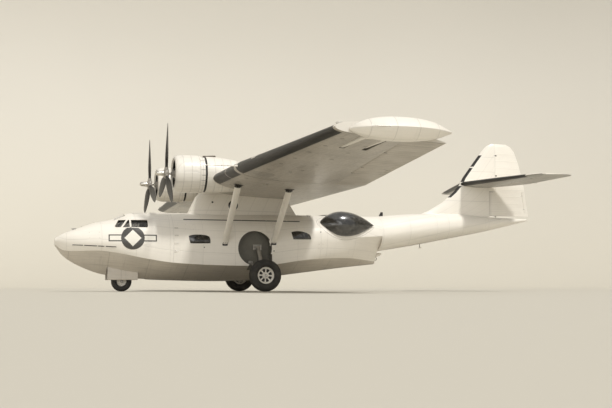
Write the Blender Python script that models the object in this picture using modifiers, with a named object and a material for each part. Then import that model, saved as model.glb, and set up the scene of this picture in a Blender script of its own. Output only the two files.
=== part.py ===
"""Twin-engine amphibious flying boat with a parasol wing, parked on its wheels.

Metres. +Z is up, the nose points along -Y and port is +X. Places are given as a
station aft of the nose tip, a distance to port and a height above the nose tip.
"""
import math

import bmesh
import bpy
from mathutils import Matrix, Vector

# Driving sizes
LENGTH = 19.47
HALF_SPAN = 15.85
NOSE_HEIGHT = 1.85          # nose tip above the ground, on the wheels
GAP = 0.0003                # between pieces that touch
RUNNING_GAP = 0.012         # between a control surface and what it turns in

# Hull
BOW_END = 4.20
MAIN_STEP = 8.00
SECOND_STEP = 12.55
HULL_WALL = 0.05
DECK_ROUNDNESS = 2.15       # 2 is an ellipse, more is squarer

# Columns: station, keel height, chine half-width, chine height, flank control half-width,
# flank control height, widest half-width, widest height, deck height
FOREBODY = (
    (0.00, -0.05, 0.03, -0.03, 0.05, -0.02, 0.06, 0.00, 0.06),
    (0.06, -0.21, 0.10, -0.15, 0.15, -0.10, 0.18, 0.00, 0.14),
    (0.30, -0.52, 0.34, -0.33, 0.44, -0.22, 0.47, -0.02, 0.29),
    (0.76, -0.83, 0.68, -0.37, 0.80, -0.24, 0.82, -0.03, 0.47),
    (1.50, -1.14, 1.02, -0.36, 1.13, -0.24, 1.15, -0.05, 0.72),
    (2.05, -1.26, 1.19, -0.42, 1.29, -0.28, 1.31, -0.06, 0.84),
    (2.60, -1.33, 1.32, -0.52, 1.41, -0.34, 1.42, -0.06, 1.06),
    (3.20, -1.37, 1.41, -0.64, 1.48, -0.42, 1.48, -0.06, 1.11),
    (4.20, -1.41, 1.49, -0.79, 1.53, -0.50, 1.53, -0.06, 1.13),
    (6.00, -1.44, 1.53, -0.875, 1.56, -0.55, 1.55, -0.06, 1.13),
    (8.00, -1.39, 1.54, -0.90, 1.56, -0.55, 1.55, -0.06, 1.13),
)
AFTERBODY = (
    (8.00, -1.30, 1.50, -0.84, 1.56, -0.45, 1.55, -0.04, 1.13),
    (9.40, -1.12, 1.28, -0.64, 1.42, -0.40, 1.45, 0.05, 1.13),
    (11.15, -0.90, 0.74, -0.55, 0.98, -0.42, 1.24, 0.22, 1.13),
    (12.55, -0.75, 0.05, -0.66, 0.30, -0.26, 1.00, 0.32, 1.15),
)
BOOM = (
    (12.55, -0.27, 0.35, -0.24, 0.85, -0.16, 1.00, 0.32, 1.15),
    (14.30, 0.02, 0.26, 0.05, 0.64, 0.14, 0.76, 0.58, 1.29),
    (16.30, 0.40, 0.17, 0.43, 0.42, 0.50, 0.50, 0.82, 1.33),
    (17.50, 0.64, 0.11, 0.66, 0.28, 0.72, 0.34, 0.93, 1.22),
    (19.36, 1.08, 0.03, 1.085, 0.05, 1.09, 0.06, 1.12, 1.17),
)
BOW_STATIONS = (0.0, 0.06, 0.16, 0.30, 0.50, 0.76, 1.1, 1.5, 1.8, 2.05, 2.3, 2.6, 2.9, 3.2, 3.7)
CENTRE_STATIONS = (5.0, 5.8, 6.6, 7.3)
WAIST_STATIONS = (8.8, 9.6, 10.4, 11.1, 11.7, 12.2)
BOOM_STATIONS = (13.3, 14.3, 15.3, 16.3, 17.2, 17.9, 18.7, 19.36)
BOTTOM_STEPS = 2
FLANK_STEPS = 3
DECK_STEPS = 7

# Hollow cockpit and waist. Columns: station, floor height, floor half-width
FLOOR = -0.40
COCKPIT_FLOOR = ((1.45, FLOOR, 0.78), (2.05, FLOOR, 1.06), (3.0, FLOOR, 1.28), (4.30, FLOOR, 1.40))
WAIST_FLOOR = ((7.90, -0.40, 1.38), (9.6, -0.36, 1.22), (11.1, -0.30, 0.88), (12.2, -0.10, 0.45))
GLAZED_STATIONS = (2.05, 2.3, 2.6, 2.9, 3.2, 3.7)
BOOM_CAVITY_STATIONS = (12.45, 13.3, 14.3, 15.3, 16.3, 17.2)

# Wing. Columns: distance out, leading edge station, leading edge height, chord, thickness ratio
WING_JOINT = 6.30
WING_TIP = 15.05
WING = (
    (0.00, 5.40, 2.25, 4.57, 0.155),
    (WING_JOINT, 5.40, 2.25, 4.57, 0.155),
    (WING_TIP, 6.05, 2.36, 3.05, 0.110),
)
WING_INCIDENCE = math.radians(6.0)
WING_CAMBER = 0.02
CHORD_STEPS = (0.0, 0.012, 0.05, 0.12, 0.22, 0.35, 0.50, 0.65, 0.82, 1.0)
AILERON_START = 9.00
AILERON_END = 14.40
AILERON_CHORD = 1.08
AILERON_HINGES = (9.9, 13.5)
EDGE_THICKNESS = 0.008      # trailing edge of a moving surface

# Fin and rudder. Columns: height, leading edge station, trailing edge station, thickness
FIN = (
    (1.00, 13.90, 19.47, 0.34),
    (1.28, 14.55, 19.47, 0.335),
    (1.45, 14.95, 19.43, 0.33),
    (1.79, 15.54, 19.38, 0.32),
    (2.20, 16.02, 19.32, 0.30),
    (2.54, 16.32, 19.27, 0.29),
    (2.82, 16.46, 19.22, 0.28),
    (3.50, 16.97, 19.03, 0.24),
    (4.00, 17.36, 18.84, 0.19),
    (4.20, 17.56, 18.66, 0.14),
    (4.30, 17.76, 18.45, 0.07),
)
RUDDER_HINGE = 17.95
RUDDER_BOTTOM = 1.28
RUDDER_BALANCE_TOP = 2.27
RUDDER_BALANCE = 0.35       # reach ahead of the hinge below the balance's top
RUDDER_HINGES = (2.95, 3.80)

# Tailplane and elevators. Columns: distance out, leading edge, trailing edge, thickness
TAIL_HEIGHT = 2.58
TAILPLANE = (
    (0.05, 16.36, 19.10, 0.30),
    (2.20, 16.88, 19.10, 0.24),
    (4.10, 17.36, 19.10, 0.15),
    (4.45, 17.47, 18.95, 0.10),
    (4.65, 17.58, 18.60, 0.06),
)
ELEVATOR_HINGE = 17.75
ELEVATOR_ROOT = 0.24
ELEVATOR_ROOT_CUT = 0.80    # trailing corner cut away for the rudder
ELEVATOR_HINGES = (1.0, 3.5)

# Pylon. Columns: height, front station, rear station, width
PYLON = ((0.80, 4.80, 9.50, 1.20), (1.35, 5.05, 9.15, 1.02), (1.75, 5.25, 8.90, 0.98))
PYLON_TOP = (5.55, 8.60, 0.96)  # front station, rear station, width, on the wing's chord line

# Engines
ENGINE_PORT = 2.13
ENGINE_HEIGHT = 2.42
# Columns: station, centre height, half-width, half-height
NACELLE = (
    (5.02, 2.42, 0.60, 0.60),
    (5.25, 2.42, 0.655, 0.655),
    (5.90, 2.41, 0.63, 0.63),
    (6.70, 2.38, 0.53, 0.51),
    (7.50, 2.32, 0.36, 0.35),
    (8.20, 2.22, 0.10, 0.14),
)
NACELLE_SIDES = 24
# Columns: radius, station
COWL_PROFILE = (
    (0.520, 4.11), (0.535, 4.060), (0.568, 4.045), (0.620, 4.085), (0.662, 4.19), (0.688, 4.40),
    (0.688, 4.78), (0.672, 4.995), (0.640, 4.995), (0.640, 4.30), (0.570, 4.18),
)
# Columns: radius, station
CRANKCASE_PROFILE = (
    (0.0, 3.72), (0.045, 3.72), (0.045, 3.96), (0.13, 3.98), (0.17, 4.12), (0.27, 4.26),
    (0.30, 4.32), (0.30, 4.86), (0.42, 4.94), (0.42, 5.0197), (0.0, 5.0197),
)
CYLINDER_ROWS = ((4.44, 0.0), (4.74, 0.5))  # station, turn in parts of the pitch
CYLINDERS_A_ROW = 7
CYLINDER_SIDES = 6
# Columns: reach from the shaft, radius
CYLINDER_PROFILE = (
    (0.25, 0.085), (0.42, 0.085), (0.425, 0.112), (0.60, 0.105), (0.6363, 0.03),
)
# Exhaust on top of the nacelle: front and rear as station and height, and radius
EXHAUST = ((5.14, 3.050), (5.62, 3.075), 0.058)

# Propellers
PROPELLER_STATION = 3.80
PROPELLER_RADIUS = 1.83
SHAFT_BORE = 0.0462
# Columns: radius, station
HUB_PROFILE = (
    (0.0, 3.40), (0.055, 3.415), (0.088, 3.47), (0.10, 3.56), (0.105, 3.66), (0.155, 3.70),
    (0.175, 3.80), (0.155, 3.90), (0.0, 3.90),
)
# Columns: radius, chord, thickness, pitch in degrees
BLADE = (
    (0.10, 0.11, 0.110, 46), (0.32, 0.13, 0.095, 42), (0.60, 0.25, 0.050, 34),
    (1.00, 0.30, 0.034, 26), (1.45, 0.265, 0.022, 20), (1.72, 0.18, 0.014, 17),
    (PROPELLER_RADIUS, 0.06, 0.008, 15),
)
PORT_PROPELLER_TURN = 8.0
STARBOARD_PROPELLER_TURN = -4.0

# Wing struts: foot and head as station, port, height
STRUTS = (
    ("front", (6.11, 1.46, -0.10), (6.09, 3.96, 2.02)),
    ("rear", (7.98, 1.46, -0.04), (7.92, 4.00, 1.80)),
)
STRUT_CHORD = 0.24
STRUT_THICKNESS = 0.11

# Tip floats
FLOAT_HINGE = 13.10
FLOAT_AXIS_HEIGHT = 2.145
FLOAT_DECK = 15.07
FLOAT_MIDDLE_HEIGHT = 2.30
# Columns: station, half-width, depth
FLOAT = (
    (6.42, 0.03, 0.10), (6.55, 0.13, 0.34), (6.85, 0.24, 0.60), (7.25, 0.30, 0.75),
    (7.70, 0.31, HALF_SPAN - FLOAT_DECK), (8.20, 0.285, 0.72), (8.70, 0.20, 0.50), (9.18, 0.03, 0.12),
)
FLOAT_LEGS = (6.88, 7.52)
LEG_WIDTH = 0.11
LEG_DEPTH = 0.12
LEG_CLEARANCE = 0.02
FLOAT_PIN = 0.02

# Main gear
MAIN_AXLE = (7.50, 2.15, 0.595)     # station, port, height above the ground
MAIN_TYRE_RADIUS = 0.595
MAIN_RIM_RADIUS = 0.31
MAIN_TYRE_WIDTH = 0.40
MAIN_AXLE_RADIUS = 0.045
# Round pockets in the main wheels' webs: number, distance from the axle, radius, depth left between
WHEEL_POCKETS = (8, 0.183, 0.042, 0.018)
POCKET_TURN = 0.43          # first pocket's turn in parts of the pitch
WELL_STATION = 7.26
WELL_HEIGHT = -0.23
WELL_RADIUS = 0.65
WELL_BACK = 1.08

# Nose gear
NOSE_AXLE = (2.48, 0.38)            # station, height above the ground
NOSE_SWIVEL = 2.40
NOSE_TYRE_RADIUS = 0.38
NOSE_RIM_RADIUS = 0.18
NOSE_TYRE_WIDTH = 0.22
NOSE_AXLE_RADIUS = 0.028
NOSE_WELL = (1.90, 3.06, 0.40, -0.52)  # front, rear, half-width, ceiling height
NOSE_DOOR_LENGTH = 0.46

# Blisters
BLISTER_STATION = 10.97
BLISTER_HEIGHT = 0.66
BLISTER_PORT = 0.98
BLISTER_RADIUS = 0.62
BLISTER_HALF_LENGTH = 1.16
BLISTER_WALL = 0.02

# Cockpit
# Outlines of the side panes as stations and heights: quarter light, wedge behind its bar, side window
SIDE_PANES = (
    ((2.09, 0.53), (2.14, 0.495), (2.30, 0.495), (2.51, 0.78), (2.25, 0.78)),
    ((2.37, 0.495), (2.62, 0.495), (2.62, 0.78), (2.58, 0.78)),
    ((2.68, 0.495), (3.24, 0.495), (3.28, 0.54), (3.28, 0.78), (2.68, 0.78)),
)
# Columns: front, rear, inner port, outer port
TOP_PANES = ((2.12, 2.52, 0.05, 0.60), (2.80, 3.35, 0.10, 0.50))
PANEL_STATION = 2.02
SEAT_STATION = 3.05
SEAT_PORT = 0.52

PIN_CLEARANCE = 1.045       # bore radius over pin radius
PIN_SIDES = 12
AXLE_CLEARANCE = 1.017      # wheel bore radius over axle radius
WHEEL_SIDES = 20
COWL_SIDES = 28             # a whole number of facets to each cylinder's pitch


def at(station, port, height):
    """Turn a station, a distance to port and a height above the nose into a point."""
    return Vector((port, station - LENGTH / 2, height + NOSE_HEIGHT))


def new_collection(name):
    collection = bpy.data.collections.new(name)
    bpy.context.scene.collection.children.link(collection)
    return collection


def new_material(name, colour, roughness, metallic, alpha=1.0):
    material = bpy.data.materials.new(name)
    material.use_nodes = True
    shader = material.node_tree.nodes["Principled BSDF"]
    shader.inputs["Base Color"].default_value = (*colour, 1.0)
    shader.inputs["Roughness"].default_value = roughness
    shader.inputs["Metallic"].default_value = metallic
    shader.inputs["Alpha"].default_value = alpha
    return material


for old in list(bpy.data.objects):
    bpy.data.objects.remove(old)

PARTS = new_collection("flying_boat")
CUTTERS = new_collection("cutters")

CREAM = new_material("cream_paint", (0.78, 0.74, 0.65), 0.35, 0.0)
GREY = new_material("grey_paint", (0.30, 0.28, 0.24), 0.45, 0.0)
FABRIC = new_material("doped_fabric", (0.62, 0.59, 0.52), 0.6, 0.0)
BLACK = new_material("black_paint", (0.02, 0.02, 0.02), 0.4, 0.0)
RUBBER = new_material("tyre_rubber", (0.03, 0.03, 0.03), 0.8, 0.0)
STEEL = new_material("gear_steel", (0.45, 0.44, 0.42), 0.4, 1.0)
ALLOY = new_material("engine_alloy", (0.35, 0.34, 0.32), 0.45, 1.0)
GLASS = new_material("glazing", (0.75, 0.78, 0.78), 0.05, 0.0, 0.25)
LEATHER = new_material("seat_leather", (0.12, 0.08, 0.05), 0.6, 0.0)


def keep(name, mesh, material=None):
    """Add a mesh as a named object. Without a material it is a cutter or a shape to join."""
    obj = bpy.data.objects.new(name, mesh)
    if material is None:
        CUTTERS.objects.link(obj)
        obj.hide_render = True
        obj.display_type = "WIRE"
    else:
        PARTS.objects.link(obj)
        obj.data.materials.append(material)
    return obj


def finish_mesh(name, bm, material=None):
    bmesh.ops.recalc_face_normals(bm, faces=bm.faces)
    mesh = bpy.data.meshes.new(name)
    bm.to_mesh(mesh)
    bm.free()
    return keep(name, mesh, material)


def add_loft(bm, rings):
    """Join rings of equal counts into one closed skin."""
    rows = [[bm.verts.new(point) for point in ring] for ring in rings]
    for lower, upper in zip(rows, rows[1:]):
        for index in range(len(lower)):
            following = (index + 1) % len(lower)
            bm.faces.new((lower[index], lower[following], upper[following], upper[index]))
    bm.faces.new(rows[0])
    bm.faces.new(rows[-1])


def loft(name, rings, material=None, split=False):
    """A closed skin over rings. Splitting its quads makes two skins on like rings match."""
    bm = bmesh.new()
    add_loft(bm, rings)
    if split:
        bmesh.ops.triangulate(bm, faces=bm.faces, quad_method="FIXED", ngon_method="EAR_CLIP")
    return finish_mesh(name, bm, material)


def combine(obj, other, operation):
    modifier = obj.modifiers.new(operation.title(), "BOOLEAN")
    modifier.operation = operation
    modifier.object = other


def cut(obj, *cutters):
    for cutter in cutters:
        combine(obj, cutter, "DIFFERENCE")


def join(obj, *others):
    for other in others:
        combine(obj, other, "UNION")


def smooth(obj, angle=35.0):
    obj.data.shade_smooth()
    obj.data.set_sharp_from_angle(angle=math.radians(angle))


def set_origin(obj, point):
    """Put a moving piece's origin on its joint axis, leaving the piece where it is."""
    obj.data.transform(Matrix.Translation(-point))
    obj.location = point


def box(name, low, high, material=None):
    """A block between two corners, each a station, a distance to port and a height."""
    first = at(*low)
    second = at(*high)
    bm = bmesh.new()
    bmesh.ops.create_cube(bm, size=1.0)
    size = [abs(b - a) for a, b in zip(first, second)]
    bmesh.ops.scale(bm, vec=size, verts=bm.verts)
    bmesh.ops.translate(bm, vec=(first + second) / 2, verts=bm.verts)
    return finish_mesh(name, bm, material)


def rod(name, start, end, radius, material=None, sides=PIN_SIDES, end_radius=None):
    """A round bar or cone between two points."""
    axis = end - start
    bm = bmesh.new()
    bmesh.ops.create_cone(bm, cap_ends=True, segments=sides, radius1=radius,
                          radius2=radius if end_radius is None else end_radius, depth=axis.length)
    turn = axis.to_track_quat("Z", "Y").to_matrix().to_4x4()
    bmesh.ops.transform(bm, matrix=Matrix.Translation((start + end) / 2) @ turn, verts=bm.verts)
    return finish_mesh(name, bm, material)


def turned(name, profile, centre, axis, steps, material=None):
    """Turn a profile of (radius, distance along the axis) pairs about an axis through a point."""
    points = list(profile)
    if sum((b[1] - a[1]) * ((a[0] + b[0]) / 2) for a, b in zip(points, points[1:] + points[:1])) > 0:
        points.reverse()
    mesh = bpy.data.meshes.new(name)
    edges = [(index, index + 1) for index in range(len(points) - 1)]
    if points[0][0] > 0 and points[-1][0] > 0:
        edges.append((len(points) - 1, 0))
    mesh.from_pydata([(radius, 0.0, along) for radius, along in points], edges, [])
    obj = keep(name, mesh, material)
    screw = obj.modifiers.new("Screw", "SCREW")
    screw.steps = steps
    screw.render_steps = steps
    screw.use_merge_vertices = True
    screw.merge_threshold = 0.00005
    screw.use_smooth_shade = True
    obj.location = centre
    obj.rotation_euler = axis.to_track_quat("Z", "Y").to_euler()
    return obj


def spread(first, last, fraction):
    return first + (last - first) * fraction


def table_row(table, place):
    """Interpolate a table's columns at a place in its first column, along smooth curves."""
    index = 0
    while index < len(table) - 2 and place > table[index + 1][0]:
        index += 1
    before, after = table[index], table[index + 1]
    width = after[0] - before[0]
    fraction = (place - before[0]) / width

    def slope(row, column):
        if row <= 0 or row >= len(table) - 1:
            low, high = (0, 1) if row <= 0 else (len(table) - 2, len(table) - 1)
        else:
            low, high = row - 1, row + 1
        return (table[high][column] - table[low][column]) / (table[high][0] - table[low][0])

    square = fraction * fraction
    cube = square * fraction
    values = []
    for column in range(1, len(before)):
        values.append(
            (2 * cube - 3 * square + 1) * before[column]
            + (cube - 2 * square + fraction) * width * slope(index, column)
            + (3 * square - 2 * cube) * after[column]
            + (cube - square) * width * slope(index + 1, column)
        )
    return values


def straight_row(table, place):
    """Interpolate a table's columns at a place in its first column, along straight lines."""
    index = 0
    while index < len(table) - 2 and place > table[index + 1][0]:
        index += 1
    before, after = table[index], table[index + 1]
    fraction = (place - before[0]) / (after[0] - before[0])
    return [spread(a, b, fraction) for a, b in zip(before[1:], after[1:])]


def grown(points, distance):
    """Move a closed outline, a list of (x, y) pairs, outwards by a distance."""
    area = sum(a[0] * b[1] - b[0] * a[1] for a, b in zip(points, points[1:] + points[:1]))
    side = 1.0 if area > 0 else -1.0
    moved = []
    for index, point in enumerate(points):
        before = Vector(points[index - 1])
        here = Vector(point)
        after = Vector(points[(index + 1) % len(points)])
        into = (here - before).normalized()
        out = (after - here).normalized()
        normal = Vector((into.y + out.y, -into.x - out.x)).normalized() * side
        lean = max(0.4, abs(normal.dot(Vector((into.y, -into.x)))))
        moved.append(tuple(here + normal * (distance / lean)))
    return moved


def mirrored(half):
    """Close a half outline that starts and ends on the middle plane."""
    return half + [(-port, height) for port, height in half[-2:0:-1]]


def deck_curve(wide, wide_height, deck_height, steps):
    """Points of the rounded upper hull from its widest place up to the middle of the deck."""
    power = 2.0 / DECK_ROUNDNESS
    points = []
    for step in range(1, steps + 1):
        angle = math.pi / 2 * step / steps
        port = wide * max(0.0, math.cos(angle)) ** power if step < steps else 0.0
        height = wide_height + (deck_height - wide_height) * math.sin(angle) ** power
        points.append((port, height))
    return points


def hull_outline(table, station, growth=0.0):
    """The hull's cross-section at a station, as (port, height) pairs."""
    keel, chine, chine_height, flank, flank_height, wide, wide_height, deck = table_row(table, station)
    half = [(0.0, keel)]
    for step in range(1, BOTTOM_STEPS + 1):
        fraction = step / BOTTOM_STEPS
        hollow = 0.06 * chine * fraction * (1 - fraction)
        half.append((chine * fraction, spread(keel, chine_height, fraction) - hollow))
    for step in range(1, FLANK_STEPS + 1):
        fraction = step / FLANK_STEPS
        rest = 1 - fraction
        half.append((
            rest * rest * chine + 2 * rest * fraction * flank + fraction * fraction * wide,
            rest * rest * chine_height + 2 * rest * fraction * flank_height
            + fraction * fraction * wide_height,
        ))
    half += deck_curve(wide, wide_height, deck, DECK_STEPS)
    outline = mirrored(half)
    return grown(outline, growth) if growth else outline


def hull_rings(table, stations, growth=0.0):
    rings = []
    for station in stations:
        outline = hull_outline(table, station, growth)
        rings.append([at(station, port, height) for port, height in outline])
    return rings


def cavity_rings(table, floor_table, stations):
    """Rings of the room inside the hull, with a flat floor."""
    rings = []
    for station in stations:
        floor, floor_half = straight_row(floor_table, station)
        wide, wide_height, deck = table_row(table, station)[5:]
        side = wide - HULL_WALL
        half = [(0.0, floor), (floor_half, floor)]
        half.append((spread(floor_half, side, 0.5), spread(floor, wide_height, 0.5)))
        half.append((side, wide_height))
        half += deck_curve(side, wide_height, deck - HULL_WALL, DECK_STEPS)
        rings.append([at(station, port, height) for port, height in mirrored(half)])
    return rings


def foil(fraction, thickness):
    """Half thickness at a fraction of the chord, for a wing section of a given thickness."""
    return 5 * thickness * (
        0.2969 * math.sqrt(fraction) - 0.1260 * fraction - 0.3516 * fraction ** 2
        + 0.2843 * fraction ** 3 - 0.1015 * fraction ** 4
    )


def camber_height(fraction, camber):
    """Height of the mean line over the chord, highest at four tenths of it."""
    top = 0.4
    if fraction < top:
        return camber / top ** 2 * (2 * top * fraction - fraction ** 2)
    return camber / (1 - top) ** 2 * (1 - 2 * top + 2 * top * fraction - fraction ** 2)


def foil_ring(lead, trail, normal, thickness, camber=0.0, growth=0.0):
    """A wing section between two points. Thickness is a length, camber a part of the chord."""
    chord = (trail - lead).length
    along = (trail - lead).normalized()
    upper = []
    lower = []
    for fraction in CHORD_STEPS:
        middle = camber_height(fraction, camber) * chord
        half = foil(fraction, thickness)
        upper.append((fraction * chord, middle + half))
        lower.append((fraction * chord, middle - half))
    outline = upper + lower[:0:-1]
    if growth:
        outline = grown(outline, growth)
    return [lead + along * x + normal * y for x, y in outline]


def flap_ring(hinge, trail, normal, radius, nose=None):
    """A moving surface's section: a round nose about the hinge and flat sides to the rear edge."""
    along = (trail - hinge).normalized()
    reach = radius if nose is None else nose
    ring = []
    steps = 8
    for step in range(steps + 1):
        angle = math.pi / 2 + math.pi * step / steps
        ring.append(hinge + along * (math.cos(angle) * reach) + normal * (math.sin(angle) * radius))
    half = EDGE_THICKNESS / 2
    ring.append(trail - normal * half)
    ring.append(trail + normal * half)
    return ring


def bay_ring(hinge, back, normal, radius):
    """The section of the space that a moving surface turns in."""
    height = 0.6
    reach = 3.0
    edge = math.radians(62.0)
    lip = radius * math.cos(edge) - 0.003
    ring = [hinge + back * reach - normal * height]
    ring.append(hinge - back * lip - normal * height)
    steps = 8
    for step in range(steps + 1):
        angle = spread(-edge, edge, step / steps)
        ring.append(hinge - back * (radius * math.cos(angle)) + normal * (radius * math.sin(angle)))
    ring.append(hinge - back * lip + normal * height)
    ring.append(hinge + back * reach + normal * height)
    return ring


def add_hinge(name, fixed, moving, centre, along, forward, reach, plate=0.03):
    """A plate with a pin on the fixed piece, in a slot and a bore of the moving piece."""
    pin = 0.014
    half = plate / 2
    clear = 0.007
    lug = rod(name + "_lug", centre - along * half, centre + along * half, 0.032)
    across = along.cross(forward)
    bm = bmesh.new()
    corners = []
    for end in (-half + 0.002, half - 0.002):
        corners.append([
            centre + along * end + forward * distance + across * height
            for distance, height in ((0.0, -0.028), (reach, -0.028), (reach, 0.028), (0.0, 0.028))
        ])
    add_loft(bm, corners)
    web = finish_mesh(name + "_web", bm)
    bar = rod(name + "_pin", centre - along * 0.07, centre + along * 0.07, pin)
    join(lug, web, bar)
    join(fixed, lug)
    slot = bmesh.new()
    corners = []
    for end in (-half - clear, half + clear):
        corners.append([
            centre + along * end + forward * distance + across * height
            for distance, height in ((-0.042, -0.4), (0.6, -0.4), (0.6, 0.4), (-0.042, 0.4))
        ])
    add_loft(slot, corners)
    bore = rod(name + "_bore", centre - along * 0.075, centre + along * 0.075, pin * PIN_CLEARANCE)
    cut(moving, finish_mesh(name + "_slot", slot), bore)


def make_envelopes():
    """Solids just larger than the hull and the wing, which neighbours are cut back to."""
    hull = loft("hull_front_envelope", hull_rings(
        FOREBODY, BOW_STATIONS[1:] + (BOW_END,) + CENTRE_STATIONS + (MAIN_STEP,), GAP), split=True)
    waist = loft("hull_waist_envelope", hull_rings(
        AFTERBODY, (MAIN_STEP,) + WAIST_STATIONS + (SECOND_STEP,), GAP), split=True)
    boom = loft("hull_boom_envelope", hull_rings(
        BOOM, (SECOND_STEP,) + BOOM_STATIONS, GAP), split=True)
    wing = loft("wing_envelope", [wing_ring(p, GAP) for p in (-WING_JOINT, WING_JOINT)])
    return {"front": hull, "waist": waist, "boom": boom, "wing": wing}


def wing_place(out, fraction):
    """Station and height of the mean line, and half thickness, at a place on the wing."""
    lead, height, chord, ratio = straight_row(WING, abs(out))
    along = fraction * chord
    rise = camber_height(fraction, WING_CAMBER) * chord
    station = lead + along * math.cos(WING_INCIDENCE) + rise * math.sin(WING_INCIDENCE)
    level = height - along * math.sin(WING_INCIDENCE) + rise * math.cos(WING_INCIDENCE)
    return station, level, foil(fraction, ratio * chord)


WING_NORMAL = Vector((0.0, math.sin(WING_INCIDENCE), math.cos(WING_INCIDENCE)))
WING_BACK = Vector((0.0, math.cos(WING_INCIDENCE), -math.sin(WING_INCIDENCE)))


def wing_ring(out, growth=0.0):
    lead, height, chord, ratio = straight_row(WING, abs(out))
    front = at(lead, out, height)
    return foil_ring(front, front + WING_BACK * chord, WING_NORMAL, ratio * chord, WING_CAMBER, growth)


def make_hull():
    bow = loft("hull_bow", hull_rings(FOREBODY, BOW_STATIONS + (BOW_END,)), CREAM, split=True)
    cut(bow, loft("cockpit_room", cavity_rings(
        FOREBODY, COCKPIT_FLOOR, (1.45, 1.8) + GLAZED_STATIONS + (4.30,)), split=True))
    well_front, well_rear, well_half, ceiling = NOSE_WELL
    cut(bow, box("nose_well", (well_front, -well_half, -1.9), (well_rear, well_half, ceiling)))
    cut_cockpit_windows(bow)

    centre = loft("hull_centre", hull_rings(
        FOREBODY, (BOW_END + GAP,) + CENTRE_STATIONS + (MAIN_STEP,)), CREAM, split=True)
    waist = loft("hull_waist", hull_rings(
        AFTERBODY, (MAIN_STEP + GAP,) + WAIST_STATIONS + (SECOND_STEP,)), CREAM, split=True)
    cut(waist, loft("waist_room", cavity_rings(
        AFTERBODY, WAIST_FLOOR, (7.90, 8.8, 9.6, 10.4, 11.1, 11.7, 12.2))))
    tail = loft("hull_tail", hull_rings(BOOM, (SECOND_STEP + GAP,) + BOOM_STATIONS), CREAM, split=True)
    cut(tail, loft("boom_room", hull_rings(BOOM, BOOM_CAVITY_STATIONS, -HULL_WALL)))
    foot = at(RUDDER_HINGE, 0.0, 1.10)
    join(tail, rod("rudder_foot_pin", foot, at(RUDDER_HINGE, 0.0, RUDDER_BOTTOM + 0.14), 0.018))

    for side in (1, -1):
        cut(centre, *main_well_cutters(side))
        cut(waist, blister_solid("blister_opening", side, -0.06))
    for obj in (bow, centre, waist, tail):
        smooth(obj, 28.0)


def cut_cockpit_windows(bow):
    """Side, windscreen and roof panes, cut straight across and straight down."""
    for index, outline in enumerate(SIDE_PANES):
        rings = [[at(station, port, height) for station, height in outline] for port in (-2.0, 2.0)]
        cut(bow, loft("side_pane_%d" % index, rings))
    for index, (front, rear, inner, outer) in enumerate(TOP_PANES):
        for side in (1, -1):
            cut(bow, box("top_pane_%d" % index, (front, side * inner, 0.45), (rear, side * outer, 1.5)))


def main_well_cutters(side):
    """The round recess for the wheel in the hull's side, and the slot for its legs."""
    centre = at(WELL_STATION, 0, WELL_HEIGHT)
    out = Vector((side, 0, 0))
    wheel = rod("wheel_well", centre + out * WELL_BACK, centre + out * 2.2, WELL_RADIUS, sides=40)
    slot = box("leg_slot", (7.02, side * (WELL_BACK + 0.05), -1.3), (7.92, side * 2.2, -0.45))
    return wheel, slot


def make_cockpit():
    inner = HULL_WALL + GAP * 2
    sheet = 0.012
    rings = []
    for station in GLAZED_STATIONS:
        wide, wide_height, deck = table_row(FOREBODY, station)[5:]
        arcs = []
        for depth in (inner, inner + sheet):
            half = [(wide - depth, wide_height)]
            half += deck_curve(wide - depth, wide_height, deck - depth, DECK_STEPS)
            half = half[2:]
            arcs.append(half + [(-port, height) for port, height in half[-2::-1]])
        outline = arcs[0] + arcs[1][::-1]
        rings.append([at(station, port, height) for port, height in outline])
    loft("cockpit_glazing", rings, GLASS, split=True)

    panel = box("instrument_panel", (PANEL_STATION, -0.80, FLOOR + GAP),
                (PANEL_STATION + 0.06, 0.80, 0.42), BLACK)
    shade = box("panel_shade", (PANEL_STATION - 0.20, -0.78, 0.36), (PANEL_STATION + 0.12, 0.78, 0.44))
    join(panel, shade)
    for name, side in (("pilot_seat", 1), ("copilot_seat", -1)):
        middle = side * SEAT_PORT
        seat = box(name, (SEAT_STATION - 0.22, middle - 0.23, -0.05),
                   (SEAT_STATION + 0.24, middle + 0.23, 0.06), LEATHER)
        back = box(name + "_back", (SEAT_STATION + 0.16, middle - 0.22, -0.02),
                   (SEAT_STATION + 0.28, middle + 0.22, 0.62))
        stand = box(name + "_stand", (SEAT_STATION - 0.14, middle - 0.14, FLOOR + GAP),
                    (SEAT_STATION + 0.16, middle + 0.14, -0.02))
        join(seat, back, stand)
        bevel = seat.modifiers.new("Bevel", "BEVEL")
        bevel.width = 0.02
        bevel.segments = 1
        bevel.limit_method = "ANGLE"


def blister_solid(name, side, growth, material=None):
    """A spindle turned about a fore and aft axis near the hull's side."""
    steps = 8
    radius = BLISTER_RADIUS + growth
    half = BLISTER_HALF_LENGTH + growth * 2
    profile = [(0.0, -half)]
    for step in range(1, steps):
        angle = math.pi * step / steps
        profile.append((radius * math.sin(angle), -half * math.cos(angle)))
    profile.append((0.0, half))
    centre = at(BLISTER_STATION, side * BLISTER_PORT, BLISTER_HEIGHT)
    return turned(name, profile, centre, Vector((0, 1, 0)), 20, material)


def make_blisters(envelopes):
    for name, side in (("blister_port", 1), ("blister_starboard", -1)):
        shell = blister_solid(name, side, 0.0, GLASS)
        cut(shell, blister_solid(name + "_inside", side, -BLISTER_WALL), envelopes["waist"])


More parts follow.
